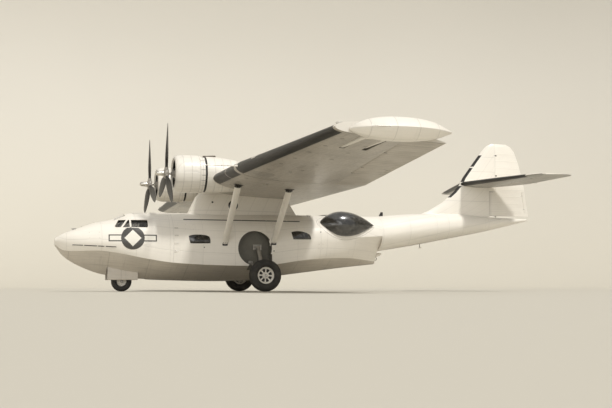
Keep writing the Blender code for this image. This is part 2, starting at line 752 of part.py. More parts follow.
def make_pylon(envelopes):
    normal = Vector((1, 0, 0))
    rings = [
        foil_ring(at(front, 0, height), at(rear, 0, height), normal, width)
        for height, front, rear, width in PYLON
    ]
    front, rear, width = PYLON_TOP
    slope = math.tan(WING_INCIDENCE)
    lead_height = WING[0][2]
    heights = [lead_height - slope * (station - WING[0][1]) for station in (front, rear)]
    rings.append(foil_ring(at(front, 0, heights[0]), at(rear, 0, heights[1]), normal, width))
    pylon = loft("pylon", rings, CREAM)
    cut(pylon, envelopes["front"], envelopes["waist"], envelopes["wing"])
    smooth(pylon)


def make_wing():
    centre = loft("wing_centre", [wing_ring(p) for p in (-WING_JOINT, WING_JOINT)], CREAM)
    for side in (1, -1):
        station, level, half = wing_place(5.0, 0.30)
        pad_top = at(station, side * 5.0, level)
        pad_foot = at(station, side * 5.0, level - half - 0.03)
        join(centre, rod("jack_pad", pad_top, pad_foot, 0.09))
    smooth(centre, 30.0)
    for name, side in (("port", 1), ("starboard", -1)):
        rings = [wing_ring(side * p) for p in (WING_JOINT + GAP, WING_TIP)]
        outer = loft("wing_outer_" + name, rings, CREAM)
        aileron = make_aileron(name, side, outer)
        make_float(name, side, outer)
        if side > 0:
            add_pitot(outer)
        smooth(outer, 30.0)
        smooth(aileron, 30.0)


def aileron_hinge(out):
    """Hinge point, rear edge point and nose radius of the aileron at a distance out."""
    lead, height, chord, ratio = straight_row(WING, abs(out))
    fraction = 1.0 - AILERON_CHORD / chord
    station, level, half = wing_place(out, fraction)
    rear_station, rear_level, _ = wing_place(out, 1.0)
    return at(station, out, level), at(rear_station, out, rear_level), half - 0.002


def make_aileron(name, side, outer):
    start, end = AILERON_START, AILERON_END
    bay = []
    for out in (start, end):
        hinge, _, radius = aileron_hinge(side * out)
        bay.append(bay_ring(hinge, WING_BACK, WING_NORMAL, radius + RUNNING_GAP))
    cut(outer, loft("aileron_bay", bay))
    rings = []
    for out in (start + RUNNING_GAP, end - RUNNING_GAP):
        hinge, rear, radius = aileron_hinge(side * out)
        back = (rear - hinge).normalized()
        rings.append(flap_ring(hinge, rear, back.cross(Vector((1, 0, 0))) * -1.0, radius))
    aileron = loft("aileron_" + name, rings, FABRIC)
    inner = aileron_hinge(side * start)[0]
    along = (aileron_hinge(side * end)[0] - inner).normalized()
    for index, out in enumerate(AILERON_HINGES):
        fraction = (out - start) / (end - start)
        hinge = inner.lerp(aileron_hinge(side * end)[0], fraction)
        add_hinge("aileron_hinge_%s_%d" % (name, index), outer, aileron, hinge, along,
                  -WING_BACK, 0.30)
    set_origin(aileron, inner)
    return aileron


def add_pitot(outer):
    """The long air speed probe ahead of the port wing's leading edge."""
    station, level, _ = wing_place(6.62, 0.03)
    rear = at(station, 6.62, level)
    join(outer, rod("pitot_tube", rear, at(4.25, 6.62, level), 0.022, sides=10))


def make_float(name, side, outer):
    rings = []
    for station, half, depth in FLOAT:
        # Columns: part of the depth, part of the half-width
        shape = ((0.0, -0.82), (0.30, -1.0), (0.62, -0.90), (0.88, -0.40), (1.0, 0.0),
                 (0.88, 0.40), (0.62, 0.90), (0.30, 1.0), (0.0, 0.82))
        rings.append([
            at(station, side * (FLOAT_DECK + GAP + depth * out), FLOAT_MIDDLE_HEIGHT + half * up)
            for out, up in shape
        ])
    body = loft("float_" + name, rings, CREAM)
    smooth(body, 32.0)

    axis_height = FLOAT_AXIS_HEIGHT
    half_depth = LEG_DEPTH / 2
    hinge = at(FLOAT_LEGS[0], side * FLOAT_HINGE, axis_height)
    shapes = []
    for index, station in enumerate(FLOAT_LEGS):
        low, high = station - LEG_WIDTH / 2, station + LEG_WIDTH / 2
        leg = box("float_leg", (low, side * FLOAT_HINGE, axis_height - half_depth),
                  (high, side * FLOAT_DECK, axis_height + half_depth), STEEL if index == 0 else None)
        eye = rod("float_eye", at(low + 0.002, side * FLOAT_HINGE, axis_height),
                  at(high - 0.002, side * FLOAT_HINGE, axis_height), half_depth - 0.001)
        pin = rod("float_pin", at(low - 0.07, side * FLOAT_HINGE, axis_height),
                  at(high + 0.07, side * FLOAT_HINGE, axis_height), FLOAT_PIN)
        join(leg, eye, pin)
        shapes.append(leg)
        room_low, room_high = low - LEG_CLEARANCE, high + LEG_CLEARANCE
        room_top = axis_height + half_depth + LEG_CLEARANCE
        room_end = FLOAT_HINGE - half_depth - LEG_CLEARANCE
        cut(outer, box("float_leg_room", (room_low, side * room_end, 1.2),
                       (room_high, side * 15.5, room_top)))
        cut(outer, rod("float_pin_bore", at(low - 0.08, side * FLOAT_HINGE, axis_height),
                       at(high + 0.08, side * FLOAT_HINGE, axis_height), FLOAT_PIN * PIN_CLEARANCE))
    cross_out = 14.75
    bar = box("float_cross_bar", (FLOAT_LEGS[0], side * (cross_out - 0.05), axis_height - 0.04),
              (FLOAT_LEGS[1], side * (cross_out + 0.05), axis_height + 0.04))
    room = box("float_bar_room", (FLOAT_LEGS[0], side * (cross_out - 0.07), 1.2),
               (FLOAT_LEGS[1], side * (cross_out + 0.07), axis_height + 0.06))
    cut(outer, room)
    frame = shapes[0]
    frame.name = "float_frame_" + name
    join(frame, shapes[1], bar)
    set_origin(frame, hinge)
    set_origin(body, hinge)


def make_fin(envelopes):
    normal = Vector((1, 0, 0))
    rings = [
        foil_ring(at(front, 0, height), at(rear, 0, height), normal, thickness)
        for height, front, rear, thickness in FIN
    ]
    fin = loft("fin", rings, CREAM, split=True)
    back = Vector((0, 1, 0))

    def hinge_radius(height):
        front, rear, thickness = straight_row(FIN, height)
        fraction = (RUDDER_HINGE - front) / (rear - front)
        return foil(fraction, thickness) - 0.002

    upper_heights = [height for height, _, _, _ in FIN if height > RUDDER_BALANCE_TOP]
    split = RUDDER_BALANCE_TOP + RUNNING_GAP
    upper = [bay_ring(at(RUDDER_HINGE, 0, height), back, normal, hinge_radius(height) + RUNNING_GAP)
             for height in [split] + upper_heights]
    top = upper_heights[-1] + 0.2
    upper.append(bay_ring(at(RUDDER_HINGE, 0, top), back, normal,
                          hinge_radius(upper_heights[-1]) + RUNNING_GAP))
    lower = [bay_ring(at(RUDDER_HINGE, 0, height), back, normal, RUDDER_BALANCE + RUNNING_GAP)
             for height in (0.5, split + 0.001)]
    cut(fin, envelopes["boom"], envelopes["waist"], loft("rudder_bay_upper", upper),
        loft("rudder_bay_lower", lower))

    rings = []
    heights = [RUDDER_BOTTOM, 1.79, RUDDER_BALANCE_TOP, RUDDER_BALANCE_TOP + 0.001] + upper_heights
    for height in heights:
        rear = straight_row(FIN, height)[1]
        nose = RUDDER_BALANCE if height <= RUDDER_BALANCE_TOP else None
        rings.append(flap_ring(at(RUDDER_HINGE, 0, height), at(rear, 0, height), normal,
                               hinge_radius(height), nose))
    rudder = loft("rudder", rings, FABRIC)
    for index, height in enumerate(RUDDER_HINGES):
        add_hinge("rudder_hinge_%d" % index, fin, rudder, at(RUDDER_HINGE, 0, height),
                  Vector((0, 0, 1)), -back, 0.26)
    cut(rudder, rod("rudder_foot_bore", at(RUDDER_HINGE, 0, RUDDER_BOTTOM - 0.05),
                    at(RUDDER_HINGE, 0, RUDDER_BOTTOM + 0.145), 0.018 * PIN_CLEARANCE))
    set_origin(rudder, at(RUDDER_HINGE, 0, RUDDER_BOTTOM))
    smooth(fin)
    smooth(rudder)


def make_tailplane():
    normal = Vector((0, 0, 1))
    back = Vector((0, 1, 0))
    fin_cut = loft("fin_envelope", [
        foil_ring(at(front, 0, height), at(rear, 0, height), Vector((1, 0, 0)), thickness, 0.0, GAP)
        for height, front, rear, thickness in FIN
    ], split=True)

    def hinge_radius(out):
        front, rear, thickness = straight_row(TAILPLANE, out)
        fraction = (ELEVATOR_HINGE - front) / (rear - front)
        return foil(fraction, thickness) - 0.002

    for name, side in (("port", 1), ("starboard", -1)):
        rings = [
            foil_ring(at(front, side * out, TAIL_HEIGHT), at(rear, side * out, TAIL_HEIGHT),
                      normal, thickness)
            for out, front, rear, thickness in TAILPLANE
        ]
        fixed = loft("tailplane_" + name, rings, CREAM)
        places = [row[0] for row in TAILPLANE]
        bay = [bay_ring(at(ELEVATOR_HINGE, side * out, TAIL_HEIGHT), back, normal,
                        hinge_radius(out) + RUNNING_GAP) for out in places]
        bay.insert(0, [point - Vector((side * 0.2, 0, 0)) for point in bay[0]])
        bay.append([point + Vector((side * 0.2, 0, 0)) for point in bay[-1]])
        cut(fixed, fin_cut, loft("elevator_bay", bay))

        rings = []
        for out in [ELEVATOR_ROOT] + places[1:]:
            rear_out = ELEVATOR_ROOT_CUT if out == ELEVATOR_ROOT else out
            rear = straight_row(TAILPLANE, rear_out)[1]
            ring = flap_ring(at(ELEVATOR_HINGE, side * out, TAIL_HEIGHT),
                             at(rear, side * out, TAIL_HEIGHT), normal, hinge_radius(out))
            shift = Vector((side * (rear_out - out), 0, 0))
            rings.append([point + shift if index > 8 else point for index, point in enumerate(ring)])
        elevator = loft("elevator_" + name, rings, FABRIC)
        for index, out in enumerate(ELEVATOR_HINGES):
            add_hinge("elevator_hinge_%s_%d" % (name, index), fixed, elevator,
                      at(ELEVATOR_HINGE, side * out, TAIL_HEIGHT), Vector((1, 0, 0)), -back, 0.24)
        set_origin(elevator, at(ELEVATOR_HINGE, side * ELEVATOR_ROOT, TAIL_HEIGHT))
        smooth(fixed)
        smooth(elevator)


def make_struts(envelopes):
    for name, side in (("port", 1), ("starboard", -1)):
        for place, foot, head in STRUTS:
            start = at(foot[0], side * foot[1], foot[2])
            end = at(head[0], side * head[1], head[2])
            along = (end - start).normalized()
            fore = Vector((0, 1, 0))
            across = along.cross(fore).normalized()
            reach = along * 0.12
            rings = []
            for centre in (start - reach, end + reach):
                ring = []
                for step in range(12):
                    angle = 2 * math.pi * step / 12
                    ring.append(centre + fore * (math.cos(angle) * STRUT_CHORD / 2)
                                + across * (math.sin(angle) * STRUT_THICKNESS / 2))
                rings.append(ring)
            strut = loft("strut_%s_%s" % (place, name), rings, CREAM)
            cut(strut, envelopes["front"], envelopes["waist"], envelopes["wing"])
            smooth(strut, 60.0)


def make_engines(envelopes):
    for name, side, turn in (("port", 1, PORT_PROPELLER_TURN), ("starboard", -1, STARBOARD_PROPELLER_TURN)):
        port = side * ENGINE_PORT
        rings = []
        for station, height, half_width, half_height in NACELLE:
            ring = []
            for step in range(NACELLE_SIDES):
                angle = 2 * math.pi * step / NACELLE_SIDES
                ring.append(at(station, port + half_width * math.cos(angle),
                               height + half_height * math.sin(angle)))
            rings.append(ring)
        nacelle = loft("nacelle_" + name, rings, CREAM)
        front, rear, radius = EXHAUST
        join(nacelle, rod("exhaust_" + name, at(front[0], port, front[1]), at(rear[0], port, rear[1]), radius))
        cut(nacelle, envelopes["wing"])
        smooth(nacelle)

        base = at(0.0, port, ENGINE_HEIGHT)
        back = Vector((0, 1, 0))
        turned("cowling_" + name, COWL_PROFILE, base, back, COWL_SIDES, CREAM)
        engine = turned("engine_" + name, CRANKCASE_PROFILE, base, back, 20, ALLOY)
        cylinders = bmesh.new()
        for station, offset in CYLINDER_ROWS:
            for index in range(CYLINDERS_A_ROW):
                angle = 2 * math.pi * (index + offset) / CYLINDERS_A_ROW
                radial = Vector((math.sin(angle), 0, math.cos(angle)))
                across = radial.cross(back)
                centre = at(station, port, ENGINE_HEIGHT)
                rings = []
                for reach, radius in CYLINDER_PROFILE:
                    ring = []
                    for step in range(CYLINDER_SIDES):
                        turn_angle = 2 * math.pi * step / CYLINDER_SIDES
                        ring.append(centre + radial * reach + back * (radius * math.cos(turn_angle))
                                    + across * (radius * math.sin(turn_angle)))
                    rings.append(ring)
                add_loft(cylinders, rings)
        join(engine, finish_mesh("cylinders_" + name, cylinders))
        make_propeller(name, port, turn)


def make_propeller(name, port, turn):
    base = at(0.0, port, ENGINE_HEIGHT)
    hub = turned("propeller_" + name, HUB_PROFILE, base, Vector((0, 1, 0)), 12, BLACK)
    blades = bmesh.new()
    centre = at(PROPELLER_STATION, port, ENGINE_HEIGHT)
    for index in range(3):
        angle = math.radians(turn + 120 * index)
        radial = Vector((math.sin(angle), 0, math.cos(angle)))
        back = Vector((0, 1, 0))
        across = radial.cross(back)
        rings = []
        for reach, chord, thickness, pitch in BLADE:
            lean = math.radians(pitch)
            wide = across * math.cos(lean) + back * math.sin(lean)
            thin = back * math.cos(lean) - across * math.sin(lean)
            ring = []
            for step in range(8):
                place = 2 * math.pi * step / 8
                ring.append(centre + radial * reach + wide * (chord / 2 * math.cos(place))
                            + thin * (thickness / 2 * math.sin(place)))
            rings.append(ring)
        add_loft(blades, rings)
    join(hub, finish_mesh("blades_" + name, blades))
    cut(hub, rod("shaft_bore_" + name, at(3.7197, port, ENGINE_HEIGHT), at(4.1, port, ENGINE_HEIGHT),
                 SHAFT_BORE, sides=20))


def tyre_profile(radius, rim, width):
    """A closed tyre section as (radius, distance along the axle) pairs."""
    half = width / 2
    depth = radius - rim
    # Columns: part of the depth, part of the half-width
    shape = ((0.0, 0.62), (0.22, 0.93), (0.58, 1.0), (0.88, 0.76), (1.0, 0.36))
    outer = [(rim + depth * deep, half * wide) for deep, wide in shape]
    return outer + [(r, -along) for r, along in reversed(outer)]


def wheel_profile(rim, width, bore):
    """A closed wheel section: rim, dished web and hub around the axle's bore."""
    half = width * 0.31
    rim = rim - GAP
    return (
        (rim, half), (rim - 0.05, half * 0.5), (bore + 0.06, half * 0.35), (bore + 0.05, half * 0.9),
        (bore, half * 0.9), (bore, -half * 0.9), (bore + 0.05, -half * 0.9),
        (bore + 0.06, -half * 0.35), (rim - 0.05, -half * 0.5), (rim, -half),
    )


def make_wheel(name, centre, radius, rim, width, axle_radius):
    across = Vector((1, 0, 0))
    turned(name + "_tyre", tyre_profile(radius, rim, width), centre, across, WHEEL_SIDES, RUBBER)
    return turned(name + "_wheel", wheel_profile(rim, width, axle_radius * AXLE_CLEARANCE), centre,
                  across, WHEEL_SIDES, CREAM)


def make_main_gear():
    station, port, ground_height = MAIN_AXLE
    height = ground_height - NOSE_HEIGHT
    for name, side in (("port", 1), ("starboard", -1)):
        axle = at(station, side * port, height)
        wheel = make_wheel("main_" + name, axle, MAIN_TYRE_RADIUS, MAIN_RIM_RADIUS, MAIN_TYRE_WIDTH,
                           MAIN_AXLE_RADIUS)
        count, reach, radius, web = WHEEL_POCKETS
        out = Vector((1, 0, 0))
        for index in range(count):
            angle = 2 * math.pi * (index + POCKET_TURN) / count
            spot = axle + Vector((0, math.cos(angle), math.sin(angle))) * reach
            for way in (1, -1):
                cut(wheel, rod("wheel_pocket", spot + out * (way * web), spot + out * (way * 0.2), radius,
                               sides=8))
        knuckle = at(station, side * 1.90, height)
        leg = rod("main_leg_" + name, knuckle, at(station, side * (port + 0.17), height),
                  MAIN_AXLE_RADIUS, STEEL, sides=WHEEL_SIDES)
        back = side * (WELL_BACK + GAP)
        low_back = side * (WELL_BACK + 0.05 + GAP)
        upper = at(station - 0.05, side * 1.22, -0.18)
        shapes = [
            rod("knuckle", at(station, side * 1.94, height), at(station, side * 1.84, height), 0.10),
            rod("oleo_rod", knuckle, knuckle.lerp(upper, 0.5), 0.045),
            rod("oleo_case", knuckle.lerp(upper, 0.38), upper, 0.075),
            box("upper_block", (station - 0.16, back, -0.28), (station + 0.06, side * 1.30, -0.06)),
        ]
        for brace_station in (station - 0.32, station + 0.28):
            foot = at(brace_station, side * 1.20, -0.78)
            shapes.append(rod("brace", knuckle, foot, 0.042))
            shapes.append(box("brace_block", (brace_station - 0.08, low_back, -0.86),
                              (brace_station + 0.08, side * 1.26, -0.70)))
        join(leg, *shapes)


def make_nose_gear(envelopes):
    station, ground_height = NOSE_AXLE
    height = ground_height - NOSE_HEIGHT
    axle = at(station, 0, height)
    make_wheel("nose", axle, NOSE_TYRE_RADIUS, NOSE_RIM_RADIUS, NOSE_TYRE_WIDTH, NOSE_AXLE_RADIUS)
    ceiling = NOSE_WELL[3]
    crown_low, crown_high = height + NOSE_TYRE_RADIUS + 0.03, height + NOSE_TYRE_RADIUS + 0.12
    swivel_pin = 0.035
    leg = rod("nose_leg", at(NOSE_SWIVEL, 0, ceiling - 0.02), at(NOSE_SWIVEL, 0, crown_high + 0.02),
              0.07, STEEL)
    join(
        leg,
        box("nose_flange", (NOSE_SWIVEL - 0.15, -0.15, ceiling - 0.04),
            (NOSE_SWIVEL + 0.15, 0.15, ceiling - GAP)),
        rod("swivel_pin", at(NOSE_SWIVEL, 0, crown_high + 0.1), at(NOSE_SWIVEL, 0, crown_low), swivel_pin,
            sides=WHEEL_SIDES),
        rod("nose_brace", at(NOSE_SWIVEL, 0, crown_high + 0.12),
            at(NOSE_SWIVEL + 0.44, 0, ceiling - 0.05), 0.035),
        box("brace_foot", (NOSE_SWIVEL + 0.36, -0.08, ceiling - 0.10),
            (NOSE_SWIVEL + 0.52, 0.08, ceiling - GAP)),
    )
    arm_inner, arm_outer = NOSE_TYRE_WIDTH / 2 + 0.025, NOSE_TYRE_WIDTH / 2 + 0.055
    fork = box("nose_fork", (NOSE_SWIVEL - 0.08, -arm_outer, crown_low),
               (station + 0.05, arm_outer, crown_high), STEEL)
    for side in (1, -1):
        join(fork, box("fork_arm", (station - 0.05, side * arm_inner, height - 0.05),
                       (station + 0.05, side * arm_outer, crown_high - 0.01)))
    join(fork, rod("nose_axle", at(station, -arm_outer - 0.02, height), at(station, arm_outer + 0.02, height),
                   NOSE_AXLE_RADIUS, sides=WHEEL_SIDES))
    cut(fork, rod("swivel_bore", at(NOSE_SWIVEL, 0, crown_low - 0.05), at(NOSE_SWIVEL, 0, crown_high + 0.05),
                  swivel_pin * AXLE_CLEARANCE, sides=WHEEL_SIDES))
    set_origin(fork, at(NOSE_SWIVEL, 0, height))

    front, rear, half, _ = NOSE_WELL
    for name, side in (("port", 1), ("starboard", -1)):
        door = box("nose_door_" + name, (front + 0.02, side * (half + 0.012), -1.42),
                   (rear - 0.02, side * (half + 0.038), -0.80), CREAM)
        cut(door, envelopes["front"])


def main():
    envelopes = make_envelopes()
    make_hull()
    make_cockpit()
    make_blisters(envelopes)
    make_pylon(envelopes)
    make_wing()
    make_fin(envelopes)
    make_tailplane()
    make_struts(envelopes)
    make_engines(envelopes)
    make_main_gear()
    make_nose_gear(envelopes)


main()
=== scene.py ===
"""Looks of a twin-engine amphibious flying boat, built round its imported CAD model.

Places are given as a station aft of the nose tip, a distance to port and a height
above the nose tip, in metres. The nose points along -Y, port is +X and up is +Z.
"""
import itertools
import math

import bmesh
import bpy
from mathutils import Matrix, Vector


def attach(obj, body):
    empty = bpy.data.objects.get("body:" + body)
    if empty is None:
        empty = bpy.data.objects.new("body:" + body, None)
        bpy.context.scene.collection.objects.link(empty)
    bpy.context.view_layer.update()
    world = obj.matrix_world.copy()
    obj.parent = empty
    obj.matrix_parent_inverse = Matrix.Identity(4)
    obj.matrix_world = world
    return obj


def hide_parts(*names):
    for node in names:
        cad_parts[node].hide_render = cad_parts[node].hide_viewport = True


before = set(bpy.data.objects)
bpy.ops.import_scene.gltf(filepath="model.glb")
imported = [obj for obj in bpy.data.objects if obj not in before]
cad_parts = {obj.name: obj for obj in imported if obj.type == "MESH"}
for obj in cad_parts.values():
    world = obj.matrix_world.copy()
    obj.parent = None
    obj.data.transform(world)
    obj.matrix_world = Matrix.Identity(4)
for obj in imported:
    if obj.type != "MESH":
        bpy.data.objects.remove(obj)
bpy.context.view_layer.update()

X, Y, Z = Vector((1, 0, 0)), Vector((0, 1, 0)), Vector((0, 0, 1))
SIDES = (("port", 1), ("starboard", -1))

# Sizes shared with the CAD source
LENGTH = 19.47
NOSE_HEIGHT = 1.85
BOW_END = 4.20
MAIN_STEP = 8.00
SECOND_STEP = 12.55
HULL_WALL = 0.05
NOSE_ROUNDING = 0.06
# Neighbouring skins start this far past the plane that they share
PLANE_GAP = 0.0003
DECK_ROUNDNESS = 2.15
# Columns: station, keel height, chine half-width, chine height, flank control half-width,
# flank control height, widest half-width, widest height, deck height
FOREBODY = (
    (0.00, -0.05, 0.03, -0.03, 0.05, -0.02, 0.06, 0.00, 0.06),
    (0.06, -0.21, 0.10, -0.15, 0.15, -0.10, 0.18, 0.00, 0.14),
    (0.30, -0.52, 0.34, -0.33, 0.44, -0.22, 0.47, -0.02, 0.29),
    (0.76, -0.83, 0.68, -0.37, 0.80, -0.24, 0.82, -0.03, 0.47),
    (1.50, -1.14, 1.02, -0.36, 1.13, -0.24, 1.15, -0.05, 0.72),
    (2.05, -1.26, 1.19, -0.42, 1.29, -0.28, 1.31, -0.06, 0.84),
    (2.60, -1.33, 1.32, -0.52, 1.41, -0.34, 1.42, -0.06, 1.06),
    (3.20, -1.37, 1.41, -0.64, 1.48, -0.42, 1.48, -0.06, 1.11),
    (4.20, -1.41, 1.49, -0.79, 1.53, -0.50, 1.53, -0.06, 1.13),
    (6.00, -1.44, 1.53, -0.875, 1.56, -0.55, 1.55, -0.06, 1.13),
    (8.00, -1.39, 1.54, -0.90, 1.56, -0.55, 1.55, -0.06, 1.13),
)
BOOM_END = 19.36
AFTERBODY = (
    (8.00, -1.30, 1.50, -0.84, 1.56, -0.45, 1.55, -0.04, 1.13),
    (9.40, -1.12, 1.28, -0.64, 1.42, -0.40, 1.45, 0.05, 1.13),
    (11.15, -0.90, 0.74, -0.55, 0.98, -0.42, 1.24, 0.22, 1.13),
    (12.55, -0.75, 0.05, -0.66, 0.30, -0.26, 1.00, 0.32, 1.15),
)
BOOM = (
    (12.55, -0.27, 0.35, -0.24, 0.85, -0.16, 1.00, 0.32, 1.15),
    (14.30, 0.02, 0.26, 0.05, 0.64, 0.14, 0.76, 0.58, 1.29),
    (16.30, 0.40, 0.17, 0.43, 0.42, 0.50, 0.50, 0.82, 1.33),
    (17.50, 0.64, 0.11, 0.66, 0.28, 0.72, 0.34, 0.93, 1.22),
    (19.36, 1.08, 0.03, 1.085, 0.05, 1.09, 0.06, 1.12, 1.17),
)
BOTTOM_STEPS = 6
FLANK_STEPS = 8
DECK_STEPS = 18
FLOOR = -0.40
COCKPIT_FLOOR = ((1.45, FLOOR, 0.78), (2.05, FLOOR, 1.06), (3.0, FLOOR, 1.28), (4.30, FLOOR, 1.40))
WAIST_FLOOR = ((7.90, -0.40, 1.38), (9.6, -0.36, 1.22), (11.1, -0.30, 0.88), (12.2, -0.10, 0.45))

WING_JOINT = 6.30
WING_TIP = 15.05
# Columns: distance out, leading edge station, leading edge height, chord, thickness ratio
WING = (
    (0.00, 5.40, 2.25, 4.57, 0.155),
    (WING_JOINT, 5.40, 2.25, 4.57, 0.155),
    (WING_TIP, 6.05, 2.36, 3.05, 0.110),
)
WING_INCIDENCE = math.radians(6.0)
WING_CAMBER = 0.02
AILERON_START = 9.00
AILERON_END = 14.40
AILERON_CHORD = 1.08
RUNNING_GAP = 0.012

# Columns: height, leading edge station, trailing edge station, thickness
FIN = (
    (1.00, 13.90, 19.47, 0.34),
    (1.28, 14.55, 19.47, 0.335),
    (1.45, 14.95, 19.43, 0.33),
    (1.79, 15.54, 19.38, 0.32),
    (2.20, 16.02, 19.32, 0.30),
    (2.54, 16.32, 19.27, 0.29),
    (2.82, 16.46, 19.22, 0.28),
    (3.50, 16.97, 19.03, 0.24),
    (4.00, 17.36, 18.84, 0.19),
    (4.20, 17.56, 18.66, 0.14),
    (4.30, 17.76, 18.45, 0.07),
)
RUDDER_HINGE = 17.95
RUDDER_BOTTOM = 1.28
RUDDER_BALANCE_TOP = 2.27
RUDDER_BALANCE = 0.35
TAIL_HEIGHT = 2.58
# Columns: distance out, leading edge, trailing edge, thickness
TAILPLANE = (
    (0.05, 16.36, 19.10, 0.30),
    (2.20, 16.88, 19.10, 0.24),
    (4.10, 17.36, 19.10, 0.15),
    (4.45, 17.47, 18.95, 0.10),
    (4.65, 17.58, 18.60, 0.06),
)
ELEVATOR_HINGE = 17.75
ELEVATOR_ROOT = 0.24
ELEVATOR_ROOT_CUT = 0.80
# Columns: height, front, rear, width
PYLON = ((0.80, 4.80, 9.50, 1.20), (1.35, 5.05, 9.15, 1.02), (1.75, 5.25, 8.90, 0.98),
         (2.10, 5.55, 8.60, 0.96))
ENGINE_PORT = 2.13
ENGINE_HEIGHT = 2.42
# Columns: station, height of the middle, half-width, half-height
NACELLE = (
    (5.02, 2.42, 0.60, 0.60),
    (5.25, 2.42, 0.655, 0.655),
    (5.90, 2.41, 0.63, 0.63),
    (6.70, 2.38, 0.53, 0.51),
    (7.50, 2.32, 0.36, 0.35),
    (8.20, 2.22, 0.10, 0.14),
)
PROPELLER_STATION = 3.80
PROPELLER_RADIUS = 1.83
# Columns: name, foot, head, both as station, distance out and height
STRUTS = (
    ("front", (6.11, 1.46, -0.10), (6.09, 3.96, 2.02)),
    ("rear", (7.98, 1.46, -0.04), (7.92, 4.00, 1.80)),
)
FLOAT_HINGE = 13.10
FLOAT_AXIS_HEIGHT = 2.145
FLOAT_DECK = 15.07
FLOAT_MIDDLE_HEIGHT = 2.30
# Columns: station, half-width, depth
FLOAT = (
    (6.42, 0.03, 0.10), (6.55, 0.13, 0.34), (6.85, 0.24, 0.60), (7.25, 0.30, 0.75),
    (7.70, 0.31, 0.78), (8.20, 0.285, 0.72), (8.70, 0.20, 0.50), (9.18, 0.03, 0.12),
)
FLOAT_LEGS = (6.88, 7.52)
MAIN_AXLE = (7.50, 2.15, 0.595)
WELL_STATION = 7.26
WELL_HEIGHT = -0.23
WELL_RADIUS = 0.65
WELL_BACK = 1.08
NOSE_AXLE = (2.48, 0.38)
NOSE_SWIVEL = 2.40
NOSE_WELL = (1.90, 3.06, 0.40, -0.52)
# Outlines of the side panes as stations and heights
SIDE_PANES = (
    ((2.09, 0.53), (2.14, 0.495), (2.30, 0.495), (2.51, 0.78), (2.25, 0.78)),
    ((2.37, 0.495), (2.62, 0.495), (2.62, 0.78), (2.58, 0.78)),
    ((2.68, 0.495), (3.24, 0.495), (3.28, 0.54), (3.28, 0.78), (2.68, 0.78)),
)
# Columns: front, rear, inner port, outer port
TOP_PANES = ((2.12, 2.52, 0.05, 0.60), (2.80, 3.35, 0.10, 0.50))
# Station where it is fattest, port, height, radius, length ahead of that station, length behind it
BLISTER = (10.82, 1.02, 0.73, 0.53, 0.92, 1.36)


def at(station, port, height):
    return Vector((port, station - LENGTH / 2, height + NOSE_HEIGHT))


def spread(first, last, fraction):
    return first + (last - first) * fraction


def table_row(table, place):
    """A table's other columns at a place in its first one, along smooth curves."""
    index = 0
    while index < len(table) - 2 and place > table[index + 1][0]:
        index += 1
    before, after = table[index], table[index + 1]
    width = after[0] - before[0]
    t = (place - before[0]) / width

    def slope(row, column):
        low, high = max(row - 1, 0), min(row + 1, len(table) - 1)
        return (table[high][column] - table[low][column]) / (table[high][0] - table[low][0])

    return [
        (2 * t ** 3 - 3 * t ** 2 + 1) * before[c] + (t ** 3 - 2 * t ** 2 + t) * width * slope(index, c)
        + (3 * t ** 2 - 2 * t ** 3) * after[c] + (t ** 3 - t ** 2) * width * slope(index + 1, c)
        for c in range(1, len(before))
    ]


def straight_row(table, place):
    """A table's other columns at a place in its first one, along straight lines."""
    index = 0
    while index < len(table) - 2 and place > table[index + 1][0]:
        index += 1
    before, after = table[index], table[index + 1]
    t = (place - before[0]) / (after[0] - before[0])
    return [spread(a, b, t) for a, b in zip(before[1:], after[1:])]


def steps_between(first, last, count):
    return [spread(first, last, index / count) for index in range(count + 1)]


def circle(count):
    """Angles evenly round a full turn."""
    return steps_between(0, 2 * math.pi, count)[:-1]


def running(lengths):
    """The distance reached before the first length and after each of them."""
    return list(itertools.accumulate(lengths, initial=0.0))


def clock(angle):
    """A direction square to Y, turned from straight up towards port."""
    return Vector((math.sin(angle), 0, math.cos(angle)))


def wheel_way(angle):
    """A direction square to X, turned from aft towards up."""
    return Vector((0, math.cos(angle), math.sin(angle)))


def wheel_rim(profile):
    """A profile of (radius, distance) pairs and its mirror image."""
    return profile + [(radius, -along) for radius, along in profile[::-1]]


def torus(major, minor, sides, middle=0.0):
    """The profile of a ring of round bar."""
    return [(major + minor * math.cos(a), middle + minor * math.sin(a)) for a in circle(sides)]


def finer(outline, count):
    """A closed outline with each of its sides cut into equal steps."""
    return [(spread(point[0], after[0], k / count), spread(point[1], after[1], k / count))
            for point, after in zip(outline, outline[1:] + outline[:1]) for k in range(count)]


# Materials

RIVET_PITCH, RIVET_INSET, RIVET_RADIUS = 0.06, 0.03, 0.006


